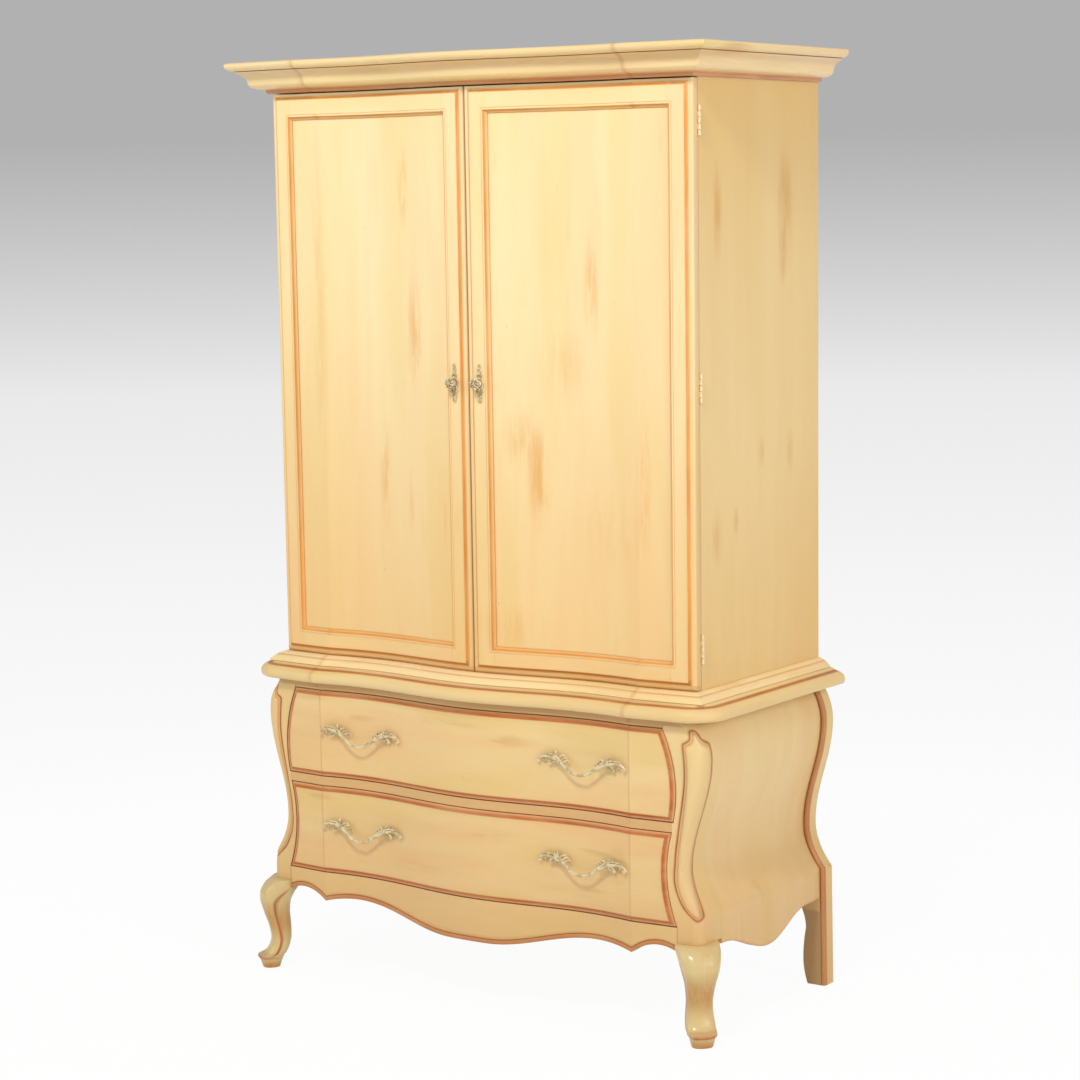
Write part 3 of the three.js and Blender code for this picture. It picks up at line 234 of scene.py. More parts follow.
def scaled(colour, *shares):
    """A colour with its red, green and blue scaled."""
    return [min(255, value * share) for value, share in zip(colour, shares)]


def small_marks(tree, place, scale, channel, picked_from, inner, outer, strength):
    """Small round marks on a few cells of a pattern, picked out by one channel of the cells' colours."""
    cells = wire(tree, "TexVoronoi", {"Vector": place, "Scale": scale, "Randomness": 1.0})
    dice = wire(tree, "SeparateColor", {0: cells.outputs["Color"]}).outputs[channel]
    picked = between(tree, dice, picked_from, picked_from + 0.01)
    near = between(tree, cells.outputs["Distance"], inner, outer, 1.0, 0.0)
    return product(tree, product(tree, near, picked), strength)


def smeared(tree, colour, place, drawn, spots, ragged, rust):
    """A colour under smears of glaze with torn edges."""
    torn = patches(tree, drawn, 48, 0.38, 0.60, 1 - 0.9 * ragged, 1 + 0.1 * ragged, 4.0, 0.65, (2, 6, 4))
    for middle, reach, strength in spots:
        off = wire(tree, "VectorMath", {0: place, 1: middle}, operation="SUBTRACT").outputs["Vector"]
        shares = tuple(1 / r if r else 0 for r in reach)
        off = wire(tree, "VectorMath", {0: off, 1: shares}, operation="MULTIPLY").outputs["Vector"]
        far = wire(tree, "VectorMath", {0: off}, operation="LENGTH").outputs["Value"]
        left = product(tree, between(tree, far, 0.1, 1.25, strength, 0.0), torn)
        colour = mixed(tree, left, colour, linear(*rust))
    return colour


def glazed_paint(name, cream, tan, along, smear=0.55, glaze=glaze_orange, rough=0.42, painted_shading=(), spots=(), ragged=1.0):
    """Cream paint brushed along one axis, with glaze where the mesh's glaze value says so.

    Each painted shading entry darkens the paint between two heights, as painted shade where less light falls: its
    colour, the heights, and how strong it is at each. A spot is a place where glaze was left on in a smear: its middle,
    its reach along each axis (0 for any distance) and its strength. ragged is how streaky the smears are, from 0 to 1.
    """
    material, tree, shader = new_material(name)
    place = object_place(tree)
    drawn = drawn_out(tree, place, along)
    rust = scaled(tan, 0.96, 0.89, 0.68)
    pale = [min(255, value + step) for value, step in zip(cream, (3, 7, 11))]

    # The brushed cream: paler clouds, drifts of yellow and of pink, and the painted shading by height
    colour = mixed(tree, patches(tree, drawn, 5.5, 0.35, 0.68), linear(*cream), linear(*pale))
    drift = noise(tree, drawn, 11, 2.0, 0.5, (7, 1, 3))
    yellowed = between(tree, drift, 0.48, 0.68, 0.0, 0.15 + smear * 0.8)
    colour = mixed(tree, yellowed, colour, linear(*scaled(cream, 0.98, 0.985, 0.91)))
    pinked = between(tree, drift, 0.34, 0.50, smear * 0.9, 0.0)
    colour = mixed(tree, pinked, colour, linear(*scaled(cream, 1.01, 0.965, 0.975)))
    z = wire(tree, "SeparateXYZ", {0: place}).outputs["Z"]
    for shade, low, high, at_low, at_high in painted_shading:
        colour = mixed(tree, between(tree, z, low, high, at_low, at_high), colour, linear(*shade), "MULTIPLY")

    # The wiped glaze: wide and long smears, those at given places, and the brush's marks
    wide = patches(tree, drawn, 12, 0.5, 0.75)
    colour = mixed(tree, product(tree, wide, smear * 0.4), colour, linear(*tan))
    patch = patches(tree, place, 3.4, 0.5, 0.66, detail=1.0, shift=(3, 1, 2))
    long = patches(tree, drawn, 34, 0.6, 0.78, detail=1.5, shift=(1, 4, 0))
    colour = mixed(tree, product(tree, product(tree, long, patch), smear * 0.6), colour, linear(*rust))
    if spots:
        colour = smeared(tree, colour, place, drawn, spots, ragged, rust)
    brush = noise(tree, drawn, 240, 2.0)
    colour = mixed(tree, between(tree, brush, 0.3, 0.75, 0.0, 0.03), colour, linear(*tan), "MULTIPLY")

    # Dark flecks flicked on, and thin scored strokes
    fleck = small_marks(tree, place, 30.0, 0, 0.86, 0.02, 0.05, 0.5)
    colour = mixed(tree, fleck, colour, linear(*crevice_and_shade_brown))
    scored = small_marks(tree, drawn, 62.0, 1, 0.90, 0.015, 0.06, 0.4)
    colour = mixed(tree, scored, colour, linear(*rust), "MULTIPLY")

    # The glaze worked into the mouldings, and brown in their crevices, which also serves as painted shade in gaps,
    # recesses and on undersides
    put_on = wire(tree, "Attribute", attribute_name="glaze").outputs["Fac"]
    wiped = patches(tree, drawn, 45, 0.3, 0.68, 0.78, 1.0, 3.0, 0.65, (5, 2, 7))
    worked_in = mixed(tree, patches(tree, drawn, 30, 0.4, 0.65, 0.0, 0.35, shift=(1, 8, 2)),
                      linear(*glaze), linear(*scaled(glaze, 0.82, 0.82, 0.82)))
    colour = mixed(tree, product(tree, put_on, wiped), colour, worked_in)
    deep = wire(tree, "Attribute", attribute_name="crevice_and_shade").outputs["Fac"]
    lead(tree, mixed(tree, deep, colour, linear(*crevice_and_shade_brown)), shader, "Base Color")

    lead(tree, patches(tree, drawn, 18, 0.3, 0.7, rough - 0.05, rough + 0.08, shift=(9, 3, 1)), shader, "Roughness")
    shader.inputs["Specular IOR Level"].default_value = 0.42
    waves = mixed(tree, 0.35, brush, noise(tree, place, 16, 2.0, 0.5, (2, 2, 2)))
    dents = wire(tree, "Math", {0: waves, 1: fleck}, operation="SUBTRACT").outputs[0]
    bumped(tree, shader, dents, 0.1, 0.0012)
    return material


def bumped(tree, shader, height, strength, distance):
    """Gives a finish a fine relief."""
    relief = wire(tree, "Bump", {"Height": height, "Strength": strength, "Distance": distance}).outputs[0]
    lead(tree, relief, shader, "Normal")


def dress(node, material, edge=0.0012):
    """Gives a carried-over node of the model its finish and slightly rounded edges."""
    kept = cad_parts[node]
    kept.data.materials.clear()
    kept.data.materials.append(material)
    if edge:
        eased = kept.modifiers.new("eased_edges", "BEVEL")
        eased.width = edge
        eased.segments = 2
        eased.limit_method = "ANGLE"
        eased.angle_limit = math.radians(40)
    return kept


# Painted shade on the sides: darker towards their bottoms, and towards their tops under the cornice
side_painted_shading = [((247, 239, 224), 0.80, 1.35, 1, 0), ((250, 243, 228), 1.55, 2.05, 0, 1)]
# Smears of glaze left on the sides: middle, reach and strength
side_spots = [
    ((0, -0.112, 1.75), (0, 0.020, 0.11), 0.5), ((0, 0.169, 1.77), (0, 0.034, 0.12), 0.5),
    ((0, 0.160, 1.66), (0, 0.022, 0.07), 0.4), ((0, -0.122, 1.07), (0, 0.022, 0.07), 0.35),
    ((0, 0.063, 1.24), (0, 0.016, 0.035), 0.35), ((0, -0.043, 1.10), (0, 0.013, 0.035), 0.35),
    ((0, 0.189, 1.23), (0, 0.015, 0.05), 0.3)]
side_paint = glazed_paint("side_paint", side_cream, side_tan, "z", 0.12, painted_shading=side_painted_shading, spots=side_spots,
                          ragged=0.6)
for hand in hands:
    dress(f"upper_side_{hand}", side_paint)


# Inside of the upper case
# The top board, the shelf for the television and the back with its cable holes, in plain lacquered wood.
# A black plastic catch with two magnets holds the doors shut.
wood_light = (214, 180, 128)
wood_dark = (176, 134, 84)
catch_black = (34, 31, 28)
catch_grey = (70, 66, 60)


def plain_wood(name, light, dark, along, rough=0.55):
    material, tree, shader = new_material(name)
    place = object_place(tree)
    drawn = drawn_out(tree, place, along)
    bend = product(tree, noise(tree, place, 3, 2.0), 0.05)
    bent = wire(tree, "VectorMath", {0: drawn, 1: wire(tree, "CombineXYZ", {0: bend, 1: bend, 2: bend}).outputs[0]},
                operation="ADD").outputs[0]
    figure = noise(tree, bent, 22, 4.0, 0.6)
    pores = noise(tree, drawn, 320, 2.0, 0.5, (4, 4, 4))
    colour = mixed(tree, between(tree, figure, 0.32, 0.7), linear(*light), linear(*dark))
    colour = mixed(tree, between(tree, pores, 0.55, 0.75, 0.0, 0.3), colour, linear(*dark), "MULTIPLY")
    lead(tree, colour, shader, "Base Color")
    lead(tree, between(tree, figure, 0.3, 0.7, rough - 0.06, rough + 0.08), shader, "Roughness")
    bumped(tree, shader, pores, 0.2, 0.0006)
    return material


def mottled(name, first, second, grain, mix, sheen):
    """Two colours in specks: the specks' noise, the range that mixes the colours, and the range of roughness."""
    material, tree, shader = new_material(name)
    specks = noise(tree, object_place(tree), *grain)
    colour = mixed(tree, between(tree, specks, *mix), linear(*first), linear(*second))
    lead(tree, colour, shader, "Base Color")
    lead(tree, between(tree, specks, 0.3, 0.7, *sheen), shader, "Roughness")
    return material, tree, shader, colour


inside_wood = plain_wood("inside_wood", wood_light, wood_dark, "x")
for node in ("upper_top", "tv_shelf", "upper_back"):
    dress(node, inside_wood)

catch_plastic = mottled("catch_plastic", catch_black, catch_grey, (900, 2.0), (0.3, 0.7, 0, 0.3), (0.4, 0.55))[0]
dress("magnetic_catch", catch_plastic, 0.0015)


# Deck and cornice
# Ogee mouldings that follow the serpentine front and return along both sides, mitred at the corners.
# The glaze is left in their quirks, and darkens the mitres at the creases of the front.
half_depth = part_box("rear_post_left")[1].y
upper_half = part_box("upper_side_right")[1].x
door_face_depth = 0.526
bulge = 0.030
bulge_half = 0.310
crease_rise = 0.010
crease_half = 0.423
moulding_cream = (247, 217, 160)
moulding_tan = (214, 160, 100)
station = 0.0085
straight_half = 0.46
mitre_width, mitre_slant = 0.0055, 0.010
overrun = 0.05


def ahead(depth):
    """A depth forward from the plane of the back, as a place along Y."""
    return half_depth - depth


def front_rise(x):
    """How far the serpentine front stands ahead of its flat ends."""
    across = np.abs(np.asarray(x, float))
    middle = bulge * (1 + np.cos(np.pi * across / bulge_half)) / 2
    reverse = crease_rise * ((across - bulge_half) / (crease_half - bulge_half)) ** 2
    outer = crease_rise * np.clip((upper_half - across) / (upper_half - crease_half), 0, None)
    return np.where(across < bulge_half, middle, np.where(across < crease_half, reverse, outer))


def stations(start, end, step=station):
    """Places across the front, closer together at the two creases, which are always among them."""
    close = [side * crease_half + off for side in (-1, 1) for off in (-0.008, -0.003, 0, 0.003, 0.008)]
    marks = [start, *[x for x in close if start + 0.001 < x < end - 0.001], end]
    runs = [np.linspace(a, b, max(2, round((b - a) / step) + 1))[:-1] for a, b in zip(marks, marks[1:])]
    return np.concatenate([*runs, [end]])


def shaped(name, points, faces, material, body, nodes, glaze=None, crevice_and_shade=None, crisp=38):
    """A finished piece: a smooth mesh with its sharp edges kept, riding on its body."""
    mesh = bpy.data.meshes.new(name)
    mesh.from_pydata(np.asarray(points, float).reshape(-1, 3).tolist(), [], faces)
    for label, values in (("glaze", glaze), ("crevice_and_shade", crevice_and_shade)):
        layer = mesh.attributes.new(label, "FLOAT", "POINT")
        if values is not None:
            layer.data.foreach_set("value", np.asarray(values, np.float32).ravel())
    work = bmesh.new()
    work.from_mesh(mesh)
    bmesh.ops.remove_doubles(work, verts=work.verts, dist=1e-6)
    bmesh.ops.dissolve_degenerate(work, edges=work.edges, dist=1e-7)
    bmesh.ops.recalc_face_normals(work, faces=work.faces)
    for face in work.faces:
        face.smooth = True
    limit = math.radians(crisp)
    for edge in work.edges:
        edge.smooth = len(edge.link_faces) != 2 or edge.calc_face_angle(0) < limit
    work.to_mesh(mesh)
    work.free()
    made = put_in(name, mesh)
    mesh.materials.append(material)
    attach(made, body)
    if nodes:
        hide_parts(*nodes)
    return made


def ring_faces(rows, ring, closed=True, capped=True):
    """Faces between rows of points, each row a ring or an open run."""
    reach = ring if closed else ring - 1
    faces = [[r * ring + i, r * ring + (i + 1) % ring, (r + 1) * ring + (i + 1) % ring, (r + 1) * ring + i]
             for r in range(rows - 1) for i in range(reach)]
    if capped:
        faces += [list(range(ring))[::-1], [(rows - 1) * ring + i for i in range(ring)]]
    return faces


def eased_through(rows, along, wanted, pull=1.0):
    """Rows read off a smooth curve through others, at wanted places along it. A lower pull is a tighter curve."""
    slopes = np.gradient(rows, along, axis=0) * pull
    spot = np.clip(np.searchsorted(along, wanted, side="right") - 1, 0, len(along) - 2)
    span = (along[spot + 1] - along[spot])[:, None]
    t = np.clip((wanted - along[spot])[:, None] / span, 0, 1)
    path = (2 * t ** 3 - 3 * t ** 2 + 1) * rows[spot] + (3 * t ** 2 - 2 * t ** 3) * rows[spot + 1]
    return path + (t ** 3 - 2 * t ** 2 + t) * span * slopes[spot] + (t ** 3 - t ** 2) * span * slopes[spot + 1]


def curve_through(shares, step, keep=False):
    """A smooth curve through rows of numbers, sampled finely along the first two, keeping the rows if asked."""
    rows = np.asarray(shares, float)
    along = np.concatenate([[0], np.cumsum(np.hypot(*np.diff(rows[:, :2], axis=0).T))])
    wanted = np.linspace(0, along[-1], max(3, round(along[-1] / step)))
    if keep:
        wanted = np.unique(np.round(np.concatenate([wanted, along]), 5))
        wanted = wanted[np.append(True, np.diff(wanted) > 0.002)]
    curve = eased_through(rows, along, wanted, 0.8)
    for column in range(2, rows.shape[1]):
        curve[:, column] = np.interp(wanted, along, rows[:, column])
    return curve


def moulded_rise(x, straight_end):
    """The rise of a moulding's front, which dies out where its corner starts."""
    across = np.abs(x)
    outer = crease_rise * np.clip((straight_end - across) / (straight_end - crease_half), 0, 1)
    return np.where(across < crease_half, front_rise(x), outer)


def moulded_plan(side, front, radius):
    """The outline of a moulded top, drawn out from the doors' faces by its projections."""
    x = upper_half + side
    depth = door_face_depth + front
    turns = np.linspace(0, math.pi / 2, 13)
    corner = [(x - radius + radius * math.sin(t), depth - radius + radius * math.cos(t)) for t in turns]
    across = stations(-straight_half, straight_half)
    middle = [(u, depth + rise) for u, rise in zip(across, moulded_rise(across, x - radius))]
    return np.array([(-x, 0), *[(-u, d) for u, d in corner[::-1]], *middle, *corner, (x, 0)])


def moulding(name, rows, radius_at, material, node, mitre=0.22):
    """Stacks moulded plans. Rows are height, side projection, front projection, glaze, and brown for crevices and
    painted shade.
    """
    plans = [moulded_plan(side, front, radius_at(side)) for _, side, front, _, _ in rows]
    points = np.array([[(x, ahead(d), row[0]) for x, d in plan] for row, plan in zip(rows, plans)])
    across = points[:, :, 0]
    near_mitre = np.exp(-((np.abs(across + mitre_slant * (across < 0)) - crease_half) / mitre_width) ** 2)
    levels = np.array([row[3:] for row in rows])
    glaze = np.clip(levels[:, :1] + mitre * near_mitre, 0, 1)
    crevice_and_shade = np.clip(levels[:, 1:] + 0.3 * mitre * near_mitre, 0, 1)
    return shaped(name, points, ring_faces(len(rows), len(plans[0])), material, "case", [node], glaze, crevice_and_shade)


def baked(thing):
    """A new mesh of an object, as its modifiers leave it."""
    bpy.context.view_layer.update()
    return bpy.data.meshes.new_from_object(thing.evaluated_get(bpy.context.evaluated_depsgraph_get()))


def carve(piece, low, high, front_depth):
    """Cuts a recess with a serpentine front edge out of a piece."""
    xs = stations(low[0], high[0])
    front = ahead(front_depth + front_rise(xs))
    behind = half_depth + overrun
    rings = [[(x, y, low[1]), (x, behind, low[1]), (x, behind, high[1]), (x, y, high[1])] for x, y in zip(xs, front)]
    cutter_mesh = bpy.data.meshes.new("cutter")
    cutter_mesh.from_pydata(np.reshape(rings, (-1, 3)).tolist(), [], ring_faces(len(xs), 4))
    work = bmesh.new()
    work.from_mesh(cutter_mesh)
    bmesh.ops.recalc_face_normals(work, faces=work.faces)
    work.to_mesh(cutter_mesh)
    work.free()
    cutter = put_in("cutter", cutter_mesh)
    cut = piece.modifiers.new("recess", "BOOLEAN")
    cut.operation = "DIFFERENCE"
    cut.solver = "EXACT"
    cut.object = cutter
    old, piece.data = piece.data, baked(piece)
    piece.modifiers.clear()
    bpy.data.meshes.remove(old)
    bpy.data.objects.remove(cutter)


moulding_paint = glazed_paint("moulding_paint", moulding_cream, moulding_tan, "xy", 0.6, (198, 112, 54), 0.25)

deck_low, deck_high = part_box("upper_deck")
deck_projection = deck_high.x - upper_half
deck_height = deck_high.z - deck_low.z
# From the bottom up: height, projection and glaze
deck_shares = [
    (0, 0.94, 0.4), (0.03, 1, 0.1), (0.10, 0.99, 0), (0.33, 0.82, 0), (0.48, 0.72, 0.05), (0.60, 0.64, 0.12),
    (0.65, 0.565, 0.4), (0.68, 0.53, 0.7), (0.71, 0.51, 0.5), (0.75, 0.48, 0.1), (0.80, 0.42, 0), (0.9, 0.27, 0),
    (0.985, 0.10, 0.05), (1, 0.06, 0.3)]
deck_rows = [(deck_low.z + deck_height * up, deck_projection * out, deck_projection * out, glaze, 0)
             for up, out, glaze in curve_through(deck_shares, 0.04)]
moulding("deck", deck_rows, lambda side: 0.0012, moulding_paint, "upper_deck")

cornice_low, cornice_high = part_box("cornice")
cornice_projection = cornice_high.x - upper_half
cornice_height = cornice_high.z - cornice_low.z
cap_thickness = 0.015
# From the bottom up: height, projection, glaze, and brown for crevices and painted shade. The brown on the bottom row,
# on the underside over the doors, is painted shade; in the quirk groove it is painted shade with glaze.
cornice_shares = [
    (0, 0.06, 0.9, 0.9), (0.004, 0.085, 0.9, 0.2), (0.02, 0.1, 0.85, 0), (0.05, 0.118, 0.85, 0), (0.085, 0.125, 0.9, 0),
    (0.1, 0.13, 0.9, 0.1), (0.118, 0.16, 0.75, 0), (0.14, 0.24, 0.35, 0), (0.17, 0.34, 0.05, 0), (0.21, 0.43, 0, 0),
    (0.27, 0.485, 0, 0), (0.36, 0.51, 0, 0), (0.45, 0.53, 0.03, 0), (0.53, 0.57, 0.1, 0.03), (0.60, 0.65, 0.16, 0.05),
    (0.66, 0.735, 0.16, 0.05), (0.70, 0.785, 0.12, 0), (0.712, 0.80, 0.4, 0.2), (0.718, 0.775, 0.5, 0.65),
    (0.728, 0.785, 0.5, 0.5), (0.735, 0.845, 0.1, 0), (0.76, 0.90, 0.05, 0), (0.80, 0.955, 0, 0), (0.86, 0.99, 0, 0),
    (0.92, 1, 0, 0), (0.965, 0.985, 0.05, 0), (1, 0.94, 0.2, 0)]
cornice_rows = [(cornice_low.z + cornice_height * up, cornice_projection * min(1, out),
                 cornice_projection * min(1, out), glaze, crevice_and_shade)
                for up, out, glaze, crevice_and_shade in curve_through(cornice_shares, 0.02, True)]
cornice = moulding("cornice_moulding", cornice_rows, lambda side: 0.002, moulding_paint, "cornice", 0.3)
case_front_depth = half_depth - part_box("upper_side_right")[0].y
recess_gap = 0.0003
recess_half = upper_half + recess_gap
carve(cornice, (-recess_half, cornice_low.z - overrun), (recess_half, cornice_high.z - cap_thickness),
      case_front_depth + recess_gap)


# Doors
# Each is a lipped frame of two stiles and two rails with an ogee round the opening, and a curved panel in a groove.
# The glaze is thick in the cove behind the lip and in the ogee, and thin where it was wiped off the flats.
door_cream = (254, 224, 168)
door_tan = (240, 186, 118)
door_orange = (226, 146, 54)
door_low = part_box("door_meeting_stile_right")[0]
door_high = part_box("door_hinge_stile_right")[1]
door_back_depth = 0.504
frame_face_depth = door_face_depth + 0.004
sticking_in = 0.058
panel_recess = 0.009
panel_back_depth = 0.510
top_hidden = 0.0035
bottom_reach = 0.0013
bottom_smear_height, bottom_cove_shade_height = 0.011, 0.019
crease_smear, meeting_smear, hinge_edge_shade_width = 0.006, 0.0013, 0.0006
# Across the lip, the cove and the start of the flat: distance in from the edge, drop below the face, glaze
lip_profile = np.array([
    (0, 0.0092, 0.1), (0.0005, 0.0080, 0.1), (0.0014, 0.0071, 0.05), (0.0026, 0.0066, 0.0), (0.0070, 0.0065, 0.0),
    (0.0084, 0.0066, 0.05), (0.0092, 0.0062, 0.15), (0.0104, 0.0056, 0.45), (0.0120, 0.0044, 0.9),
    (0.0134, 0.0030, 1.0), (0.0146, 0.0015, 1.0), (0.0155, 0.0004, 1.0), (0.0162, 0, 0.75), (0.0170, 0, 0.25),
    (0.0185, 0, 0.05), (0.0240, 0, 0.0)])
# Out from the opening's edge: an ovolo, a small bead and a quirk, as distance, drop and glaze
ogee_profile = np.array([
    (0, 0.0085, 0.9), (0.0004, 0.0072, 0.5), (0.0014, 0.0060, 0.45), (0.0030, 0.0044, 0.65), (0.0048, 0.0026, 1.0),
    (0.0060, 0.0012, 1.0), (0.0068, 0.0004, 0.8), (0.0076, 0.0001, 0.2), (0.0090, 0.0, 0.0),
    (0.0104, 0.0002, 0.05), (0.0112, 0.0008, 0.5), (0.0118, 0.0007, 0.5), (0.0124, 0, 0.12), (0.0136, 0, 0.02),
    (0.0170, 0, 0)])


def rim_of(rows, run):
    """The points round the edge of a grid, in order."""
    rim = [i * run for i in range(rows)] + [(rows - 1) * run + j for j in range(1, run)]
    return rim + [i * run + run - 1 for i in range(rows - 2, -1, -1)] + list(range(run - 2, 0, -1))


def board_of(name, xs, zs, face, back, material, body, nodes, drop=None, glaze=None, crevice_and_shade=None, wall=(0, 0)):
    """A board with a shaped face: grids of x and z, depths of face and back, the face's drop, glaze, and brown for
    crevices and painted shade.

    wall is the glaze on its edges, and the brown on them, which is painted shade of the gaps beside them.
    """
    drop, glaze, crevice_and_shade = [np.zeros_like(xs) if values is None else values for values in (drop, glaze, crevice_and_shade)]
    skins = [np.stack([xs, ahead(depth), zs], -1).reshape(-1, 3) for depth in (face - drop, back)]
    quads = ring_faces(*xs.shape, closed=False, capped=False)
    level = drop.ravel()
    faces = []
    for a, d, c, b in quads:
        first, second = abs(level[a] - level[c]), abs(level[b] - level[d])
        if abs(first - second) < 1e-7:
            faces.append([a, b, c, d])
        elif first > second:
            faces += [[a, b, c], [a, c, d]]
        else:
            faces += [[a, b, d], [b, c, d]]
    count = xs.size
    rim = rim_of(*xs.shape)
    faces += [[count + a, count + b, b, a] for a, b in zip(rim, rim[1:] + rim[:1])]
    faces += [[count + k for k in quad] for quad in quads]
    worn = np.concatenate([glaze.ravel(), np.full(count, wall[0])])
    dark = np.concatenate([crevice_and_shade.ravel(), np.full(count, wall[1])])
    return shaped(name, np.concatenate(skins), faces, material, body, nodes, worn, dark)


def read_off(profile, at):
    """The other columns of a profile, at places along its first one."""
    return [np.interp(at, profile[:, 0], column) for column in profile.T[1:]]


def door_relief(xs, zs):
    """Drop, glaze, and brown for crevices and painted shade of a door frame's face, from the distances to its edge and
    to its opening.
    """
    up = zs - door_low.z
    edge = np.minimum(np.minimum(xs - door_low.x, door_high.x - xs), np.minimum(up, door_high.z + top_hidden - zs))
    out = np.maximum(np.maximum(opening_low.x - xs, xs - opening_high.x),
                     np.maximum(opening_low.z - zs, zs - opening_high.z))
    drop, glaze = [np.maximum(*pair) for pair in zip(read_off(lip_profile, edge), read_off(ogee_profile, out))]
    # Near the bottom edge, glaze with a little painted shade; in the bottom cove, which faces down, painted shade;
    # along the meeting edge, glaze with painted shade of the gap between the doors; along the hinge edge, painted shade
    # of the gap
    at_bottom = np.clip((bottom_smear_height - up) / 0.002, 0, 1)
    crease = np.exp(-((xs - crease_half) / crease_smear) ** 2) * (out < 0.012)
    meeting = np.exp(-np.clip(xs - door_low.x, 0, None) / meeting_smear)
    outside = np.exp(-np.clip(door_high.x - xs, 0, None) / hinge_edge_shade_width)
    shaded_bottom_cove = (glaze > 0.5) * (up < bottom_cove_shade_height)
    dark = np.clip(0.12 * outside + 0.28 * meeting + 0.1 * at_bottom + 0.35 * shaded_bottom_cove, 0, 1)
    return drop, np.clip(glaze + 0.35 * crease * (glaze > 0.02) + 0.3 * at_bottom + 0.25 * meeting, 0, 1), dark


# Painted shade: the doors grow darker towards their bottoms, where less light from above falls
door_painted_shading = [((244, 231, 214), 0.75, 1.7, 1, 0)]
# Smears of glaze left on the doors: middle, reach and strength. The long one at x -0.432, beside the left crease, is
# painted shade where the panel turns.
door_spots = [
    ((-0.188, 0, 1.825), (0.017, 0, 0.09), 0.5), ((-0.161, 0, 1.495), (0.026, 0, 0.13), 0.45),
    ((-0.258, 0, 1.17), (0.020, 0, 0.13), 0.45), ((-0.182, 0, 1.12), (0.014, 0, 0.07), 0.3),
    ((-0.432, 0, 1.55), (0.022, 0, 0.42), 0.25), ((0.302, 0, 1.59), (0.020, 0, 0.12), 0.55),
    ((0.169, 0, 1.19), (0.030, 0, 0.12), 0.6), ((0.128, 0, 1.275), (0.048, 0, 0.07), 0.35),
    ((0.439, 0, 1.20), (0.018, 0, 0.17), 0.3), ((0.223, 0, 1.43), (0.075, 0, 0.09), 0.22),
    ((0.36, 0, 1.08), (0.10, 0, 0.10), 0.15), ((0.09, 0, 0.86), (0.10, 0, 0.06), 0.25)]
door_paint = {along: glazed_paint(f"door_paint_{along}", door_cream, door_tan, along, 0.4, door_orange, 0.4,
                                  door_painted_shading, door_spots) for along in ("x", "z")}
frame_steps = np.concatenate([lip_profile[:, 0], [0.032], sticking_in - ogee_profile[::-1, 0]])
top_steps = np.concatenate([[0], (frame_steps - top_hidden)[frame_steps > top_hidden + 0.0003]])
opening_low = Vector((door_low.x + sticking_in, 0, door_low.z + sticking_in))
opening_high = Vector((door_high.x - sticking_in, 0, door_high.z - sticking_in))


def frame_piece(part, hand, x_marks, z_marks, along, wall=(0, 0)):
    """A stile or a rail of a door, cut from the relief of the whole frame."""
    xs, zs = np.meshgrid(x_marks, z_marks, indexing="ij")
    drop, glaze, crevice_and_shade = door_relief(xs, zs)
    zs = np.where(zs < door_low.z + 1e-6, zs - bottom_reach, zs)
    rise = front_rise(xs)
    board_of(f"{part}_{hand}", hands[hand] * xs, zs, frame_face_depth + rise, door_back_depth + rise, door_paint[along],
             f"{hand}_door", [f"door_{part}_{hand}"], drop, glaze, crevice_and_shade, wall)


tall = np.concatenate([door_low.z + frame_steps, np.linspace(opening_low.z, opening_high.z, 30)[1:-1],
                       opening_high.z + ogee_profile[:, 0], door_high.z - top_steps])
tall = np.unique(np.round(tall, 6))
wide = stations(opening_low.x + recess_gap, opening_high.x - recess_gap)
tongue_low, tongue_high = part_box("door_panel_right")
field_marks = np.array([0.0, 0.0005, 0.0012, 0.0022, 0.0035, 0.0055, 0.009])
field_start = 0.014
field_rows = np.linspace(0.83, 1.955, 40)
across = np.concatenate([[tongue_low.x], opening_low.x + field_marks,
                         stations(opening_low.x + field_start, opening_high.x - field_start),
                         (opening_high.x - field_marks)[::-1], [tongue_high.x]])
up = np.concatenate([[tongue_low.z], opening_low.z + field_marks, field_rows,
                     (opening_high.z - field_marks)[::-1], [tongue_high.z]])
xs, zs = np.meshgrid(across, up, indexing="ij")
inward = np.minimum(np.minimum(xs - opening_low.x, opening_high.x - xs),
                    np.minimum(zs - opening_low.z, opening_high.z - zs))
# Glaze round the panel's edge, and brown there as the painted shadow of the frame
glaze = np.interp(inward, [0, 0.0008, 0.0018, 0.0045], [0.7, 0.4, 0.15, 0])
crevice_and_shade = np.interp(inward, [0, 0.0010, 0.0020], [0.3, 0.12, 0])
rise = front_rise(xs)
for hand, side in hands.items():
    # Each wall pair is glaze and brown for the edges; the brown is painted shade in the gaps
    frame_piece("meeting_stile", hand, door_low.x + frame_steps, tall, "z", (0.35, 0.2))
    frame_piece("hinge_stile", hand, (door_high.x - frame_steps)[::-1], tall, "z", (0.1, 0.25))
    frame_piece("top_rail", hand, wide, tall[tall > opening_high.z - 1e-5], "x")
    frame_piece("bottom_rail", hand, wide, door_low.z + frame_steps, "x", (0.6, 0.42))
    board_of(f"door_field_{hand}", side * xs, zs, frame_face_depth - panel_recess + rise, panel_back_depth + rise,
             door_paint["z"], f"{hand}_door", [f"door_panel_{hand}"], glaze=glaze, crevice_and_shade=crevice_and_shade)


# Door pulls
# A rosette knob on a pierced, scrolled plate, cast in one and washed with cream.
# Brown is left in the hollows of the casting, and deepened there as painted shade.
pull_cream = (226, 210, 170)
pull_shade = (186, 166, 122)
pull_brown = (88, 56, 22)
cast_metal, tree, shader, colour = mottled("cast_metal", pull_cream, pull_shade, (90, 2.0), (0.38, 0.66), (0.34, 0.5))
deep = wire(tree, "Attribute", attribute_name="crevice_and_shade").outputs["Fac"]
lead(tree, mixed(tree, deep, colour, linear(*pull_brown)), shader, "Base Color")
shader.inputs["Metallic"].default_value = 0.1
bumped(tree, shader, noise(tree, object_place(tree), 420, 2.0), 0.15, 0.0004)


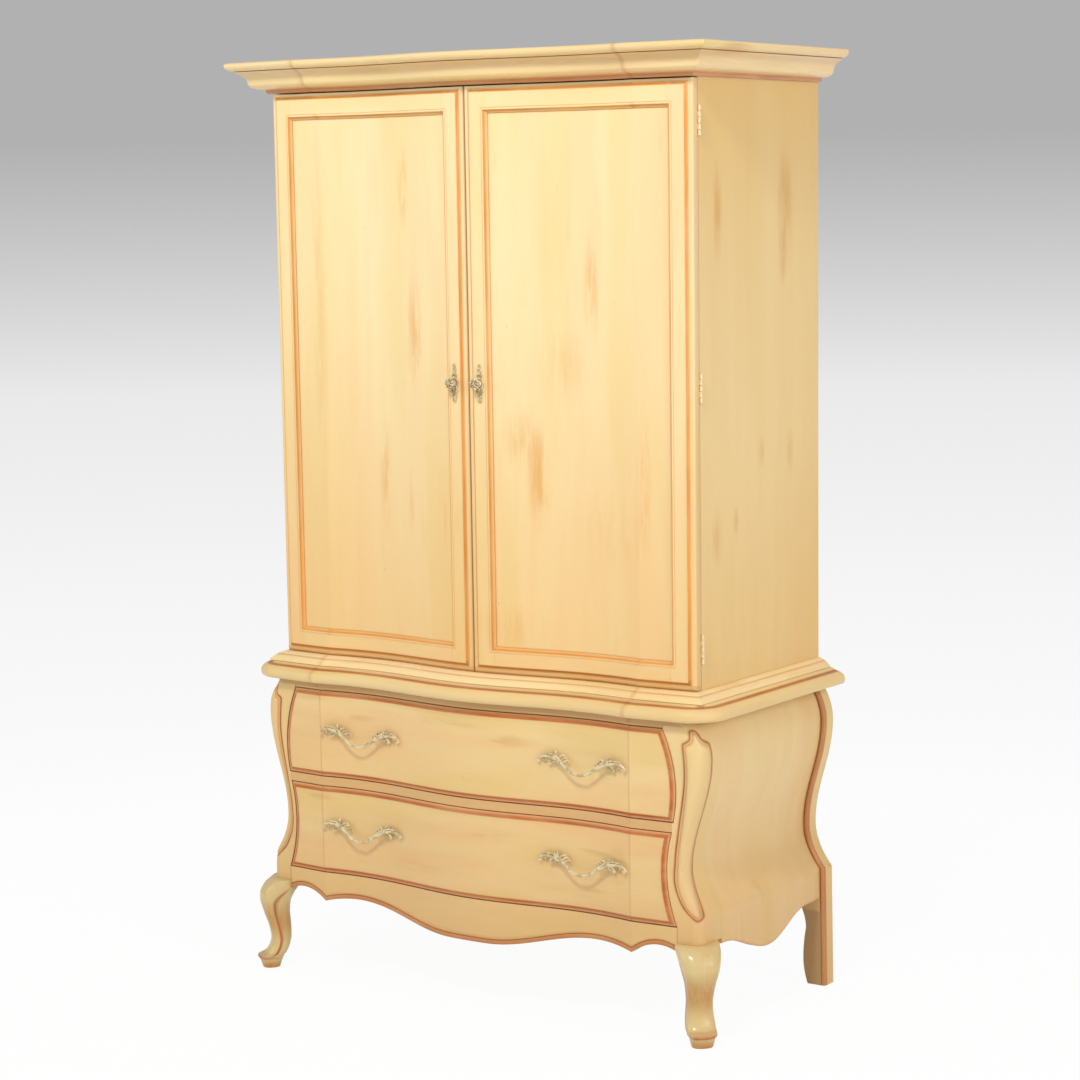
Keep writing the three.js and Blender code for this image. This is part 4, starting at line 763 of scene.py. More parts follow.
def strand(rows, sides=12):
    """A closed strand with rounded ends through rows of place and radius, in millimetres."""
    given = np.asarray(rows, float)
    along = np.concatenate([[0], np.cumsum(np.linalg.norm(np.diff(given[:, :3], axis=0), axis=1))])
    path = eased_through(given, along, np.linspace(0, along[-1], max(4, int(along[-1] / 1.2))))
    heading = np.gradient(path[:, :3], axis=0)
    heading /= np.linalg.norm(heading, axis=1)[:, None]
    first, last = path[0], path[-1]
    dome = ((0.97, 0.24), (0.8, 0.6), (0.45, 0.9))
    start = [[*(first[:3] - heading[0] * first[3] * a), first[3] * b] for a, b in dome]
    end = [[*(last[:3] + heading[-1] * last[3] * a), last[3] * b] for a, b in dome[::-1]]
    path = np.concatenate([start, path, end])
    heading = np.concatenate([[heading[0]] * 3, heading, [heading[-1]] * 3])
    side = np.cross(heading[0], (0, 0, 1.0))
    if np.linalg.norm(side) < 0.1:
        side = np.array((1.0, 0, 0))
    points = []
    for (x, y, z, radius), ahead_of in zip(path, heading):
        side = side - ahead_of * side.dot(ahead_of)
        side /= np.linalg.norm(side)
        other = np.cross(ahead_of, side)
        for turn in turns_of(sides):
            points.append(np.array((x, y, z)) + radius * (side * math.cos(turn) + other * math.sin(turn)))
    return np.array(points), ring_faces(len(path), sides)


def turned(profile, sides=40, middle=(0, 0)):
    """A closed turning about the axis out of the face, from rows of radius and height."""
    points = [(middle[0] + radius * math.cos(turn), middle[1] + radius * math.sin(turn), height)
              for radius, height in profile for turn in turns_of(sides)]
    return np.array(points), ring_faces(len(profile), sides)


def lump(x, y, z, wide, tall, deep, turn=0.0):
    """An egg-shaped lobe, turned in the plane of the face."""
    points = []
    for lift in np.linspace(-0.94, 0.94, 9) * math.pi / 2:
        for a in turns_of(14):
            u, v = wide * math.cos(lift) * math.cos(a), tall * math.cos(lift) * math.sin(a)
            points.append((x + u * math.cos(turn) - v * math.sin(turn), y + u * math.sin(turn) + v * math.cos(turn),
                           z + deep * math.sin(lift)))
    return np.array(points), ring_faces(9, 14)


def joined(shells):
    """The points and the faces of several closed shells together."""
    points, faces = [], []
    for shell, shell_faces in shells:
        faces += [[len(points) + k for k in face] for face in shell_faces]
        points += list(shell)
    return np.array(points), faces


def fused(name, shells, grain):
    """One skin over overlapping shells, with how hollow it is at each point. The shells are in millimetres."""
    points, faces = joined(shells)
    rough = bpy.data.meshes.new(name)
    rough.from_pydata((points / 1000).tolist(), [], faces)
    blank = put_in(name, rough)
    skin = blank.modifiers.new("skin", "REMESH")
    skin.mode = "VOXEL"
    skin.voxel_size = grain / 1000
    rubbed = blank.modifiers.new("rubbed", "SMOOTH")
    rubbed.factor = 0.5
    rubbed.iterations = 2
    mesh = baked(blank)
    bpy.data.objects.remove(blank)
    count = len(mesh.vertices)
    places, normals = np.empty(count * 3), np.empty(count * 3)
    mesh.vertices.foreach_get("co", places)
    mesh.vertices.foreach_get("normal", normals)
    places, normals = places.reshape(-1, 3), normals.reshape(-1, 3)
    ends = np.empty(len(mesh.edges) * 2, int)
    mesh.edges.foreach_get("vertices", ends)
    a, b = ends.reshape(-1, 2).T
    links = np.bincount(ends, minlength=count)[:, None]
    soft = places.copy()
    for _ in range(14):
        total = np.stack([np.bincount(a, soft[b, k], count) + np.bincount(b, soft[a, k], count) for k in range(3)], -1)
        soft = soft * 0.3 + total / links * 0.7
    hollow = ((soft - places) * normals).sum(1) * 1000
    faces = [list(face.vertices) for face in mesh.polygons]
    bpy.data.meshes.remove(mesh)
    return places, faces, np.clip((hollow - 0.06) / 0.32, 0, 1)


def placed(side, flip, rows):
    """A strand carried to one side, and upwards or downwards."""
    return strand([(side * u, flip * v, w, r) for u, v, w, r in rows])


def petals(count, out, height, size, start=0.0, spin=1):
    """Lobes in a ring about the knob's axis, each turned with its place, or none turned where spin is 0."""
    return [lump(out * math.cos(a), out * math.sin(a), height, *size, spin * a) for a in turns_of(count, start)]


def mirrored(name, node, places, faces, material, body="case", glaze=None, crevice_and_shade=None, crisp=38):
    """A left and a right piece from the places of the right one: x, depth and z. In the names, * is the hand."""
    x, depth, z = places
    for hand, side in hands.items():
        shaped(name.replace("*", hand), np.stack([side * x, ahead(depth), z], -1), faces, material,
               body.replace("*", hand), [node.replace("*", hand)], glaze, crevice_and_shade, crisp)


knob_half = 0.034
knob_height = (door_low.z + door_high.z) / 2
# The turned stem from the plate to the rosette: radius and height, in millimetres
knob_stem = [(11.2, -0.8), (11.6, 1.2), (11.2, 2.6), (9.6, 3.6), (8.0, 3.4), (6.5, 4.6), (5.4, 6), (4.8, 9), (5.2, 12),
             (7.5, 14.5), (10.5, 16.5), (11.6, 18.6), (11.2, 20.6), (8, 22), (3, 22.4), (0.2, 22.4)]
# Strands of a quarter of the plate: place across and up, stand-off and radius, in millimetres
plate_scrolls = [
    [(3.0, 9, 1.5, 1.6), (6.4, 13, 1.7, 1.6), (7.0, 17.5, 2.2, 1.8), (4.8, 20.5, 2.6, 1.7), (2.8, 18.4, 2.4, 1.2)],
    [(1.0, 19, 1.5, 1.2), (1.2, 23, 1.5, 1.2), (4.6, 26.0, 1.9, 1.4), (4.6, 30.5, 2.1, 1.5), (2.0, 31.6, 1.9, 1.1)],
    [(0.5, 30, 1.3, 1.2), (3.0, 34.5, 1.5, 1.2), (3.0, 38.5, 1.8, 1.3), (0.9, 41.2, 1.8, 1.3)]]
shells = [turned(knob_stem)]
shells += petals(9, 9.4, 19.6, (3.9, 3.0, 4.4)) + petals(6, 4.7, 22.2, (2.2, 1.8, 2.8), 0.3)
shells += [lump(0, 0, 23.2, 2.7, 2.7, 3.2)] + petals(14, 10.4, 2.4, (1.9, 1.9, 1.9), spin=0)
for flip, wide in ((1, 0.8), (-1, 1.15)):
    shells += [placed(side * wide, flip, rows) for side in (1, -1) for rows in plate_scrolls]
    shells.append(lump(0, flip * 13, 2.0, 1.8, 3.6, 2.4))
knob_points, knob_faces, knob_hollow = fused("knob", shells, 0.55)
across, up, out = knob_points.T
across = knob_half + across
places = (across, frame_face_depth + front_rise(np.clip(across, 0, 1)) + out, knob_height + up)
# Brown in the hollows, strengthened as painted shade
mirrored("knob_*", "door_pull_*", places, knob_faces, cast_metal, "*_door",
         crevice_and_shade=np.clip(knob_hollow * 2.4, 0, 1), crisp=180)


# Hinges
# Steel butt hinges lacquered to match the paint, three to a door. Each leaf is let in flush, and the fixed pin
# has a small ball tip at each end.
hinge_cream = (240, 220, 172)
hinge_worn = (176, 142, 84)
hinge_steel, _, shader, _ = mottled("hinge_steel", hinge_cream, hinge_worn, (210, 3.0, 0.6), (0.55, 0.75), (0.32, 0.45))
shader.inputs["Metallic"].default_value = 0.15
hinge_x, hinge_depth = 0.5635, 0.5035
barrel, leaf_thickness, leaf_gap = 0.0033, 0.0018, 0.0004
leaf_start = 0.545
hinge_length = 0.0635
knuckle = hinge_length / 5
knuckle_gap = 0.0004
chamfer_in, chamfer_up = 0.0012, 0.0007
pin, tip = 0.0012, 0.0016
end_distance = 0.086


def slab_shell(low, high, ease=0.0003):
    """A thin plate with eased edges, between two corners of x, depth and z."""
    (x0, d0, z0), (x1, d1, z1) = low, high
    rings = []
    for z, inset in ((z0, ease), (z0 + ease, 0), (z1 - ease, 0), (z1, ease)):
        a, b, c, d = x0 + inset, x1 - inset, d0 + inset, d1 - inset
        rings += [(a + ease, c, z), (b - ease, c, z), (b, c + ease, z), (b, d - ease, z), (b - ease, d, z),
                  (a + ease, d, z), (a, d - ease, z), (a, c + ease, z)]
    return rings, ring_faces(4, 8)


def barrel_shell(rows):
    rings = [(hinge_x + radius * math.cos(turn), hinge_depth + radius * math.sin(turn), z)
             for z, radius in rows for turn in turns_of(24)]
    return rings, ring_faces(len(rows), 24)


# The pin's tip, from its end to the barrel: height in tips, and radius
ball = [(1, 0.0003), (0.8, 0.0012), (0.3, 0.0017)]
hinge_heights = {"top": door_high.z - end_distance, "middle": knob_height, "bottom": door_low.z + end_distance}
for where, middle in hinge_heights.items():
    low, high = middle - hinge_length / 2, middle + hinge_length / 2
    for leaf, own, towards in (("case", (0, 2, 4), -1), ("door", (1, 3), 1)):
        near, far = sorted(hinge_depth + towards * (leaf_gap / 2 + step) for step in (0, leaf_thickness))
        shells = [slab_shell((leaf_start, near, low), (hinge_x - barrel - knuckle_gap, far, high))]
        for k in own:
            z0, z1 = low + knuckle * k + knuckle_gap, low + knuckle * (k + 1) - knuckle_gap
            shells.append(slab_shell((hinge_x - barrel - 0.001, near, z0), (hinge_x, far, z1)))
            shells.append(barrel_shell([(z0, barrel - chamfer_in), (z0 + chamfer_up, barrel),
                                        (z1 - chamfer_up, barrel), (z1, barrel - chamfer_in)]))
        if leaf == "door":
            shells.append(barrel_shell([*[(low - tip * up, radius) for up, radius in ball], (low + knuckle_gap, pin),
                                        (high - knuckle_gap, pin),
                                        *[(high + tip * up, radius) for up, radius in ball[::-1]]]))
        points, faces = joined(shells)
        mirrored(f"hinge_{where}_{leaf}_*", f"hinge_{where}_{leaf}_leaf_*", points.T, faces, hinge_steel,
                 "*_door" if leaf == "door" else "case", crisp=30)


# Base top
# A thick slab with a bullnose edge over a cove, its front corners rounded, rebated over the frame below.
base_cream = (233, 200, 139)
base_tan = (212, 158, 100)
slab_low, slab_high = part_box("base_top")
slab_projection = slab_high.x - upper_half
slab_height = slab_high.z - slab_low.z
lower_depth = 0.566
least_front = lower_depth + 0.003 - door_face_depth
shoulder_half = 0.5775
# From the bottom up: height, projection, glaze, and brown for crevices and painted shade. The brown on the underside
# rows, under the bullnose, is painted shade.
slab_shares = [
    (0, 0.20, 0.3, 0.18), (0.05, 0.22, 0.3, 0.2), (0.12, 0.27, 0.3, 0.2), (0.18, 0.36, 0.3, 0.2),
    (0.215, 0.50, 0.3, 0.2), (0.235, 0.68, 0.25, 0.15), (0.25, 0.82, 0.15, 0.05), (0.27, 0.90, 0.05, 0),
    (0.31, 0.955, 0, 0), (0.38, 0.985, 0, 0), (0.48, 1, 0, 0), (0.60, 0.99, 0, 0), (0.72, 0.945, 0, 0),
    (0.80, 0.875, 0, 0), (0.845, 0.81, 0.05, 0), (0.86, 0.765, 0.7, 0.1), (0.885, 0.69, 0.95, 0.15),
    (0.91, 0.63, 0.75, 0.05), (0.925, 0.61, 0.15, 0), (0.95, 0.58, 0, 0), (1, 0.52, 0, 0)]
slab_rows = [(slab_low.z + slab_height * up, slab_projection * min(1, out),
              max(least_front, slab_projection * min(1, out)), glaze, crevice_and_shade)
             for up, out, glaze, crevice_and_shade in curve_through(slab_shares, 0.03, True)]
# Painted shade: the base and the drawers grow darker towards the floor, where less light from above falls
base_painted_shading = [((235, 221, 211), 0.0, 0.65, 1, 0)]
base_glaze = (184, 94, 32)
base_paint = {along: glazed_paint(f"base_paint_{along}", base_cream, base_tan, along, 0.35, base_glaze,
                                  painted_shading=base_painted_shading) for along in ("x", "z", "xy")}
slab_corner, corner_tightening = 0.080, 0.83
slab = moulding("base_slab", slab_rows, lambda side: slab_corner - (slab_projection - side) * corner_tightening,
                base_paint["xy"], "base_top")
frame_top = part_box("corner_post_right")[1].z
rebate_half = shoulder_half + recess_gap
carve(slab, (-rebate_half, slab_low.z - overrun), (rebate_half, frame_top + recess_gap), lower_depth + recess_gap)


# Front corner posts
# Solid posts that follow the swell of the sides, with a rounded corner that a long leaf is carved on.
# The leaf is a raised pad inside a cut line, and the cut line holds brown glaze.
belly_half, neck_half, ledge_half, foot_half = 0.598, 0.553, 0.595, 0.599
belly_z, neck_z, ledge_z = 0.615, 0.374, 0.274
panel_set = 0.004
post_back_depth = half_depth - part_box("corner_post_right")[1].y
upper_drawer_low, upper_drawer_high = 0.477, 0.677
lower_drawer_low, lower_drawer_high = 0.250, 0.453
drawer_gap = 0.0015
drawer_face_depth = 0.570
drawer_thickness = 0.022
stop_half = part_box("bottom_board")[1].x + recess_gap
divider_top = upper_drawer_low - drawer_gap
apron_top = lower_drawer_low - drawer_gap
upper_widest, upper_narrowing, upper_middle_share = 0.533, 0.032, 0.315
lower_narrowest, lower_widening, lower_middle_share = 0.510, 0.0225, 0.58
foot_radius, pad_radius, radius_blend = 0.024, 0.034, 0.030
pad_low, pad_high = 0.266, 0.677
pad_half_width = 0.031
pad_rise = 0.0060
drawn_pad_rise = 0.0043


def side_half(z):
    """Half the width of the bombe base, at a height."""
    z = np.asarray(z, float)
    shoulder = belly_half - (belly_half - shoulder_half) * ((z - belly_z) / (slab_low.z - belly_z)) ** 2
    turn = np.pi * (belly_z - z) / (belly_z - neck_z)
    swell = (belly_half + neck_half) / 2 + (belly_half - neck_half) * np.cos(turn) / 2
    flare = neck_half + (ledge_half - neck_half) * ((neck_z - z) / (neck_z - ledge_z)) ** 2
    foot = ledge_half + (foot_half - ledge_half) * (ledge_z - z) / ledge_z
    return np.where(z > belly_z, shoulder, np.where(z > neck_z, swell, np.where(z > ledge_z, flare, foot)))


def upper_edge(z):
    """Half the width of the upper drawer's front, at a height."""
    middle = upper_drawer_low + upper_middle_share * (upper_drawer_high - upper_drawer_low)
    return upper_widest - upper_narrowing * ((z - middle) / (upper_drawer_high - middle)) ** 2


def lower_edge(z):
    """Half the width of the lower drawer's front, at a height."""
    middle = lower_drawer_low + lower_middle_share * (lower_drawer_high - lower_drawer_low)
    return lower_narrowest + lower_widening * ((z - middle) / (middle - lower_drawer_low)) ** 2


def post_inner(z):
    """The edge of a corner post beside the drawers."""
    if z <= divider_top:
        return lower_edge(min(max(z, lower_drawer_low), lower_drawer_high)) + drawer_gap
    return upper_edge(min(max(z, upper_drawer_low), upper_drawer_high)) + drawer_gap


def corner_radius(z):
    """The radius of a corner post, which grows from the foot to where the pad starts."""
    up = min(1, max(0, (z - pad_low + radius_blend / 2) / radius_blend))
    return foot_radius + (pad_radius - foot_radius) * up * up * (3 - 2 * up)


# Half of the leaf's outline: height up the pad, and width on the diagonal of the corner
leaf_shares = [
    (1, 0), (0.998, 0.12), (0.99, 0.24), (0.978, 0.31), (0.962, 0.37), (0.95, 0.47), (0.942, 0.60), (0.932, 0.80),
    (0.915, 0.95), (0.88, 1), (0.8, 0.98), (0.66, 0.9), (0.54, 0.81), (0.42, 0.71), (0.28, 0.66), (0.16, 0.72),
    (0.09, 0.69), (0.04, 0.55), (0.012, 0.3), (0, 0)]
half_leaf = curve_through(leaf_shares, 0.02)
flank = math.sqrt(0.5)


def round_corner(across, radius):
    """Distance along the post's skin from its corner, from a distance square to the corner's diagonal."""
    limit = radius * flank
    on_arc = radius * np.arcsin(np.clip(across / radius, -flank, flank))
    return np.where(np.abs(across) <= limit, on_arc,
                    np.sign(across) * (radius * np.pi / 4 + (np.abs(across) - limit) / flank))


leaf_z = pad_low + (pad_high - pad_low) * half_leaf[:, 0]
leaf_out = np.array([round_corner(pad_half_width * out, corner_radius(z)) for out, z in zip(half_leaf[:, 1], leaf_z)])
# How far the leaf's middle sways from the corner, towards the side
leaf_sway = np.interp(half_leaf[:, 0], [0, 0.1, 0.16, 0.28, 0.42, 0.54, 0.74, 0.92, 1],
                      [-0.002, 0.0035, 0.0055, 0.0077, 0.0090, 0.0085, 0.0055, 0.001, 0])
leaf_line = np.concatenate([np.stack([leaf_sway + leaf_out, leaf_z], 1),
                            np.stack([leaf_sway - leaf_out, leaf_z], 1)[-2:0:-1]])


def inside_line(points, line):
    """Distance inside a closed line, negative outside it."""
    ends = np.roll(line, -1, axis=0)
    spans = ends - line
    best = np.full(len(points), 1e9)
    turns = np.zeros(len(points), bool)
    for (ax, ay), (sx, sy), (_, by) in zip(line, spans, ends):
        px, py = points[:, 0] - ax, points[:, 1] - ay
        t = np.clip((px * sx + py * sy) / (sx * sx + sy * sy + 1e-18), 0, 1)
        best = np.minimum(best, np.hypot(px - t * sx, py - t * sy))
        crossing = (ay > points[:, 1]) != (by > points[:, 1])
        if sy != 0:
            turns ^= crossing & (points[:, 0] < ax + (points[:, 1] - ay) * sx / sy)
    return np.where(turns, best, -best)


# From outside the leaf's line to the middle of the pad: distance in, rise, glaze and crevice
pad_profile = np.array([
    (-0.0055, 0, 0, 0), (-0.0036, 0.0003, 0.2, 0), (-0.0022, 0, 0.5, 0.02), (-0.0010, -0.0007, 1, 0.15),
    (0, -0.0010, 1, 0.18), (0.0010, -0.0006, 1, 0.12), (0.0022, 0.0002, 0.5, 0), (0.0034, 0.0008, 0.2, 0),
    (0.0048, 0.0008, 0.25, 0), (0.0060, 0.0003, 0.85, 0.06), (0.0072, 0.0009, 0.3, 0), (0.0095, 0.0024, 0.08, 0),
    (0.0130, 0.0036, 0, 0), (0.0180, 0.0042, 0, 0), (0.0240, drawn_pad_rise, 0, 0)])
pad_wall = 0.0036


def post_section(z):
    """Ring of a right-hand post, each point with its place along the skin, from the front face to the side."""
    inner = post_inner(z)
    outer = float(side_half(z)) - panel_set
    radius = min(corner_radius(z), outer - inner - drawer_gap)
    centre, centre_depth = outer - radius, lower_depth - radius
    quarter = radius * math.pi / 4
    start = front_rise(inner)
    ring = []
    for share in np.linspace(0, 1, 20)[:-1]:
        x = inner + (centre - inner) * share
        ring.append((x, lower_depth + start * (1 - share), 0, 1, -quarter - (centre - x)))
    for turn in np.linspace(0, math.pi / 2, 40):
        ring.append((centre + radius * math.sin(turn), centre_depth + radius * math.cos(turn),
                     math.sin(turn), math.cos(turn), radius * (turn - math.pi / 4)))
    for back in [*np.linspace(0.0013, 0.022, 16), 0.030]:
        ring.append((outer, centre_depth - back, 1, 0, quarter + back))
    stop = drawer_face_depth - drawer_thickness - 2 * recess_gap
    for x, depth in ((outer, post_back_depth), (stop_half, post_back_depth), (stop_half, stop), (inner, stop)):
        ring.append((x, depth, 0, 0, 1))
    return ring


post_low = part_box("corner_post_right")[0].z
post_heights = np.array(sorted([*np.arange(post_low, frame_top, 0.0021), divider_top, divider_top + 0.0005, frame_top]))
rings = np.array([post_section(z) for z in post_heights])
x_out, depth_out, faces_side, faces_front, along_skin = np.moveaxis(rings, -1, 0)
skin = np.stack([along_skin, np.repeat(post_heights[:, None], rings.shape[1], 1)], -1)
depth_in = inside_line(skin.reshape(-1, 2), leaf_line).reshape(along_skin.shape)
lift, pad_glaze, pad_crevice = read_off(pad_profile, depth_in)
lift = np.minimum(lift * pad_rise / drawn_pad_rise, np.where(faces_front > 0.99, pad_wall, 1))
on_skin = along_skin < 0.9
places = (x_out + lift * faces_side * on_skin, depth_out + lift * faces_front * on_skin, skin[:, :, 1])
edge_wear = np.exp(-np.arange(rings.shape[1]) / 0.6) * 0.8
right_half = np.clip((along_skin - 0.001) / 0.005, 0, 1)
shaded = np.interp(depth_in, [0.001, 0.003, 0.008, 0.018], [0, 0.22, 0.20, 0.05]) * right_half
glaze = np.clip(pad_glaze * on_skin + edge_wear, 0, 1) * (1 - 0.7 * right_half * (depth_in > 0.004) * on_skin)
crevice_and_shade = np.clip((pad_crevice + shaded) * on_skin, 0, 1)
mirrored("post_*", "corner_post_*", places, ring_faces(len(rings), rings.shape[1]), base_paint["z"],
         glaze=glaze, crevice_and_shade=crevice_and_shade)


# Front legs
# Cabriole legs carved from the solid, dowelled under the posts: a knee, a slim ankle and a ledged toe on a pad.
# A cut line holding orange glaze runs down each edge and round the toe.
leg_height = 0.214
leg_cream = (214, 190, 133)
leg_tan = (196, 150, 92)
leg_spots = [((0, 0, 0.112), (0, 0, 0.050), 0.75), ((0, 0, 0), (0, 0, 0.022), 1.0)]
leg_paint = glazed_paint("leg_paint", leg_cream, leg_tan, "z", 0.5, base_glaze, 0.27, spots=leg_spots, ragged=0.25)
leg_depth, leg_width = 0.082, 0.096
side_apron_low = 0.1515
# From the floor up: height, centre along the diagonal, half-depth, half-width, and glaze
leg_shares = [
    (0, -0.02, 0.25, 0.24, 0.3), (0.06, -0.02, 0.3, 0.275, 0.1), (0.1, -0.02, 0.345, 0.298, 0.4),
    (0.107, -0.02, 0.352, 0.304, 1.1), (0.114, -0.015, 0.375, 0.325, 1.1), (0.13, -0.02, 0.375, 0.335, 0.7),
    (0.14, -0.06, 0.36, 0.336, 0.3), (0.155, -0.13, 0.32, 0.342, 0.35), (0.175, -0.18, 0.305, 0.34, 0.05),
    (0.229, -0.26, 0.29, 0.333, 0), (0.318, -0.322, 0.288, 0.3125, 0), (0.453, -0.3, 0.317, 0.3, 0),
    (0.631, -0.21, 0.38, 0.35, 0), (0.766, -0.19, 0.45, 0.427, 0), (0.855, -0.27, 0.5, 0.47, 0),
    (0.94, -0.42, 0.5, 0.5, 0), (1, -0.57, 0.44, 0.505, 0.1)]
leg_rows = np.asarray(leg_shares)
heights = np.unique(np.concatenate([leg_rows[:, 0], np.linspace(0.16, 1, 60), np.linspace(0, 0.16, 18)]))
leg_sections = eased_through(leg_rows, leg_rows[:, 0], heights, 0.7)
corner_x, corner_depth = ledge_half + panel_set, lower_depth + 0.008
turns = turns_of(144, -math.pi)
# Where the cut line runs round the leg, in radians from the knee, from the floor up
cut_heights = [0, 0.16, 0.3, 0.48, 0.65, 0.74, 0.82, 0.9]
cut_turns = [1.5, 1.56, 1.55, 1.46, 1.46, 1.5, 1.65, 1.9]
cut_half_width, cut_depth_share = 0.09, 0.03


def squared(value):
    """A sine or a cosine made fuller, for a section between an ellipse and a rectangle."""
    return np.sign(value) * np.abs(value) ** 0.8


places, glaze, crevice_and_shade = [], [], []
for up, centre, deep, wide, worn in leg_sections:
    cut = np.exp(-((np.abs(turns) - np.interp(up, cut_heights, cut_turns)) / cut_half_width) ** 2)
    cut = cut * np.interp(up, [0.12, 0.16, 0.84, 0.92], [0, 1, 1, 0])
    out = leg_depth * (centre + deep * squared(np.cos(turns))) * (1 - cut_depth_share * cut)
    across = leg_width * wide * squared(np.sin(turns)) * (1 - cut_depth_share * cut)
    x = corner_x + (out + across) * flank
    depth = corner_depth + (out - across) * flank
    z = leg_height * up
    if z > side_apron_low - 1e-4:
        x = np.maximum(x, post_inner(apron_top))
        depth = np.maximum(depth, post_back_depth)
    places.append((x, depth, np.full_like(x, z)))
    glaze.append(np.clip(cut * 1.1 + worn * np.clip(1.2 - np.abs(turns) / 2.2, 0, 1), 0, 1))
    crevice_and_shade.append(cut * 0.1)
mirrored("leg_*", "front_leg_*", np.moveaxis(places, 1, 0), ring_faces(len(leg_sections), len(turns)), leg_paint,
         glaze=glaze, crevice_and_shade=crevice_and_shade, crisp=50)


# Rear posts
# Sawn to the bombe profile in one length with the rear legs, with a bead between two quirks down the front corner.
rear_depth = 0.040
bead_radius = 0.0075
bead_low = 0.176
neck_height, hollow_height = 0.130, 0.0598
rear_neck_half, rear_hollow_half, rear_foot_half = 0.548, 0.541, 0.552
band_start = apron_top - 0.015


def rear_inner(z):
    """The inner edge of a rear post, which is sawn to a curve below the side panel."""
    if z >= band_start:
        return stop_half
    if z > neck_height:
        turn = math.pi / 2 * (band_start - z) / (band_start - neck_height)
        return stop_half + (rear_neck_half - stop_half) * math.sin(turn)
    above = z > hollow_height
    end, reach = (rear_neck_half, neck_height - hollow_height) if above else (rear_foot_half, hollow_height)
    return rear_hollow_half + (end - rear_hollow_half) * ((z - hollow_height) / reach) ** 2


# The corner's section: in from the side, in from the front, glaze and crevice
corner_cut = [(0, 0.0130, 0, 0), (0, 0.0108, 0.2, 0.0), (0.0008, 0.0098, 0.6, 0.2), (0.0015, 0.0090, 0.8, 0.35),
              (0.0008, 0.0082, 0.6, 0.1)]
corner_cut += [(bead_radius - bead_radius * math.cos(turn), bead_radius - bead_radius * math.sin(turn), 0.75, 0)
               for turn in np.linspace(0, math.pi / 2, 9)]
corner_cut += [(0.0082, 0.0008, 0.95, 0.3), (0.0090, 0.0015, 0.9, 0.7), (0.0098, 0.0008, 0.9, 0.5),
               (0.0108, 0, 0.5, 0.2), (0.0130, 0, 0.1, 0)]
bead_end = 13
rear_heights = np.unique(np.concatenate([np.linspace(0, frame_top, 120), [ledge_z, band_start, neck_height]]))
places, glaze, crevice_and_shade = [], [], []
for z in rear_heights:
    outer, inner = float(side_half(z)), rear_inner(z)
    ring = [(inner + 0.001, 0, 0, 0), (outer - 0.001, 0, 0, 0), (outer, 0.001, 0, 0)]
    ring += [(outer - a, rear_depth - b, g, c) for a, b, g, c in corner_cut]
    # Brown on the inner faces, as painted shade
    ring += [(inner + 0.002, rear_depth, 0, 0.2), (inner, rear_depth - 0.002, 0, 0.3), (inner, 0.001, 0, 0.5)]
    x, depth, worn, dark = np.transpose(ring)
    order = np.arange(len(ring))
    # Below the bead's end, the leg's front face behind the bead loses glaze and gets brown, as painted shade under the
    # side panel
    below = float(np.clip((bead_low - z) / 0.004, 0, 1))
    behind = np.clip((order - bead_end) / 3, 0, 1) * (order < len(ring) - 1) * below
    places.append((x, depth, np.full_like(x, z)))
    glaze.append(worn * (1 - 0.6 * behind))
    crevice_and_shade.append(np.maximum(dark, 0.42 * behind))
mirrored("rear_leg_*", "rear_post_*", np.moveaxis(places, 1, 0), ring_faces(len(rear_heights), len(ring)),
         base_paint["z"], glaze=glaze, crevice_and_shade=crevice_and_shade)


# Side panels
# Bent panels between the posts, glued into them, with a lower edge cut in one wave.
panel_front, panel_rear = post_back_depth - recess_gap, rear_depth + recess_gap
panel_set_rear = 0.012
panel_thick = 0.018
wave_high, wave_middle = 0.202, 0.272
reach_front, reach_rear = 0.200, 0.172
depths = np.linspace(panel_rear, panel_front, 62)
away = np.clip(np.abs(depths - wave_middle) / np.where(depths > wave_middle, reach_front, reach_rear), 0, 1)
wave = (side_apron_low + (wave_high - side_apron_low) * (1 - np.cos(np.pi * away)) / 2)[:, None]
shares = np.array([0, 0.0018, 0.005, 0.012, *np.linspace(0.025, 1, 62)])
eased_edge = np.array([0.0012, 0.0004, *[0] * 64])
zs = wave + (frame_top - wave) * shares
lean = ((depths - panel_rear) / (panel_front - panel_rear))[:, None]
outer = side_half(zs) - panel_set_rear + (panel_set_rear - panel_set) * lean
x = np.array([outer - eased_edge, outer - panel_thick])
places = (x, np.broadcast_to(depths[:, None], x.shape), np.broadcast_to(zs, x.shape))
count = zs.size
quads = ring_faces(*zs.shape, closed=False, capped=False)
rim = rim_of(*zs.shape)
faces = quads + [[count + k for k in quad[::-1]] for quad in quads]
faces += [[a, b, count + b, count + a] for a, b in zip(rim, rim[1:] + rim[:1])]
glaze = np.concatenate([np.clip(np.exp(-(zs - wave) / 0.0016) * 0.8, 0, 1).ravel(), np.full(count, 0.2)])
mirrored("bombe_panel_*", "side_panel_*", places, faces, base_paint["z"], glaze=glaze)


# Front apron, rails and inner boards of the base
# The apron is bent to the front and scalloped, with a bead applied along its edge. A rail runs over each drawer.
# The bottom and the back are plain boards.
apron_drop, arch_drop, cusp_drop, peak_drop = 0.0975, 0.0425, 0.0675, 0.055
arch_half, flat_half, end_arch = 0.331, 0.050, 0.490
bead_height, bead_rise = 0.0095, 0.003
rail_thickness = 0.020
dust_thickness = 0.012


def apron_low(x):
    """Height of the apron's scalloped edge."""
    across = abs(x)
    peak, cusp = apron_top - apron_drop + arch_drop, apron_top - cusp_drop
    if across < arch_half:
        out = max(0, across - flat_half) / (arch_half - flat_half)
        return apron_top - apron_drop + arch_drop * (1 - math.cos(math.pi * out)) / 2
    if across < crease_half:
        return peak - (peak - cusp) * ((across - arch_half) / (crease_half - arch_half)) ** 2
    top = apron_top - peak_drop + peak - cusp
    return top - (top - cusp) * ((end_arch - across) / (end_arch - crease_half)) ** 2


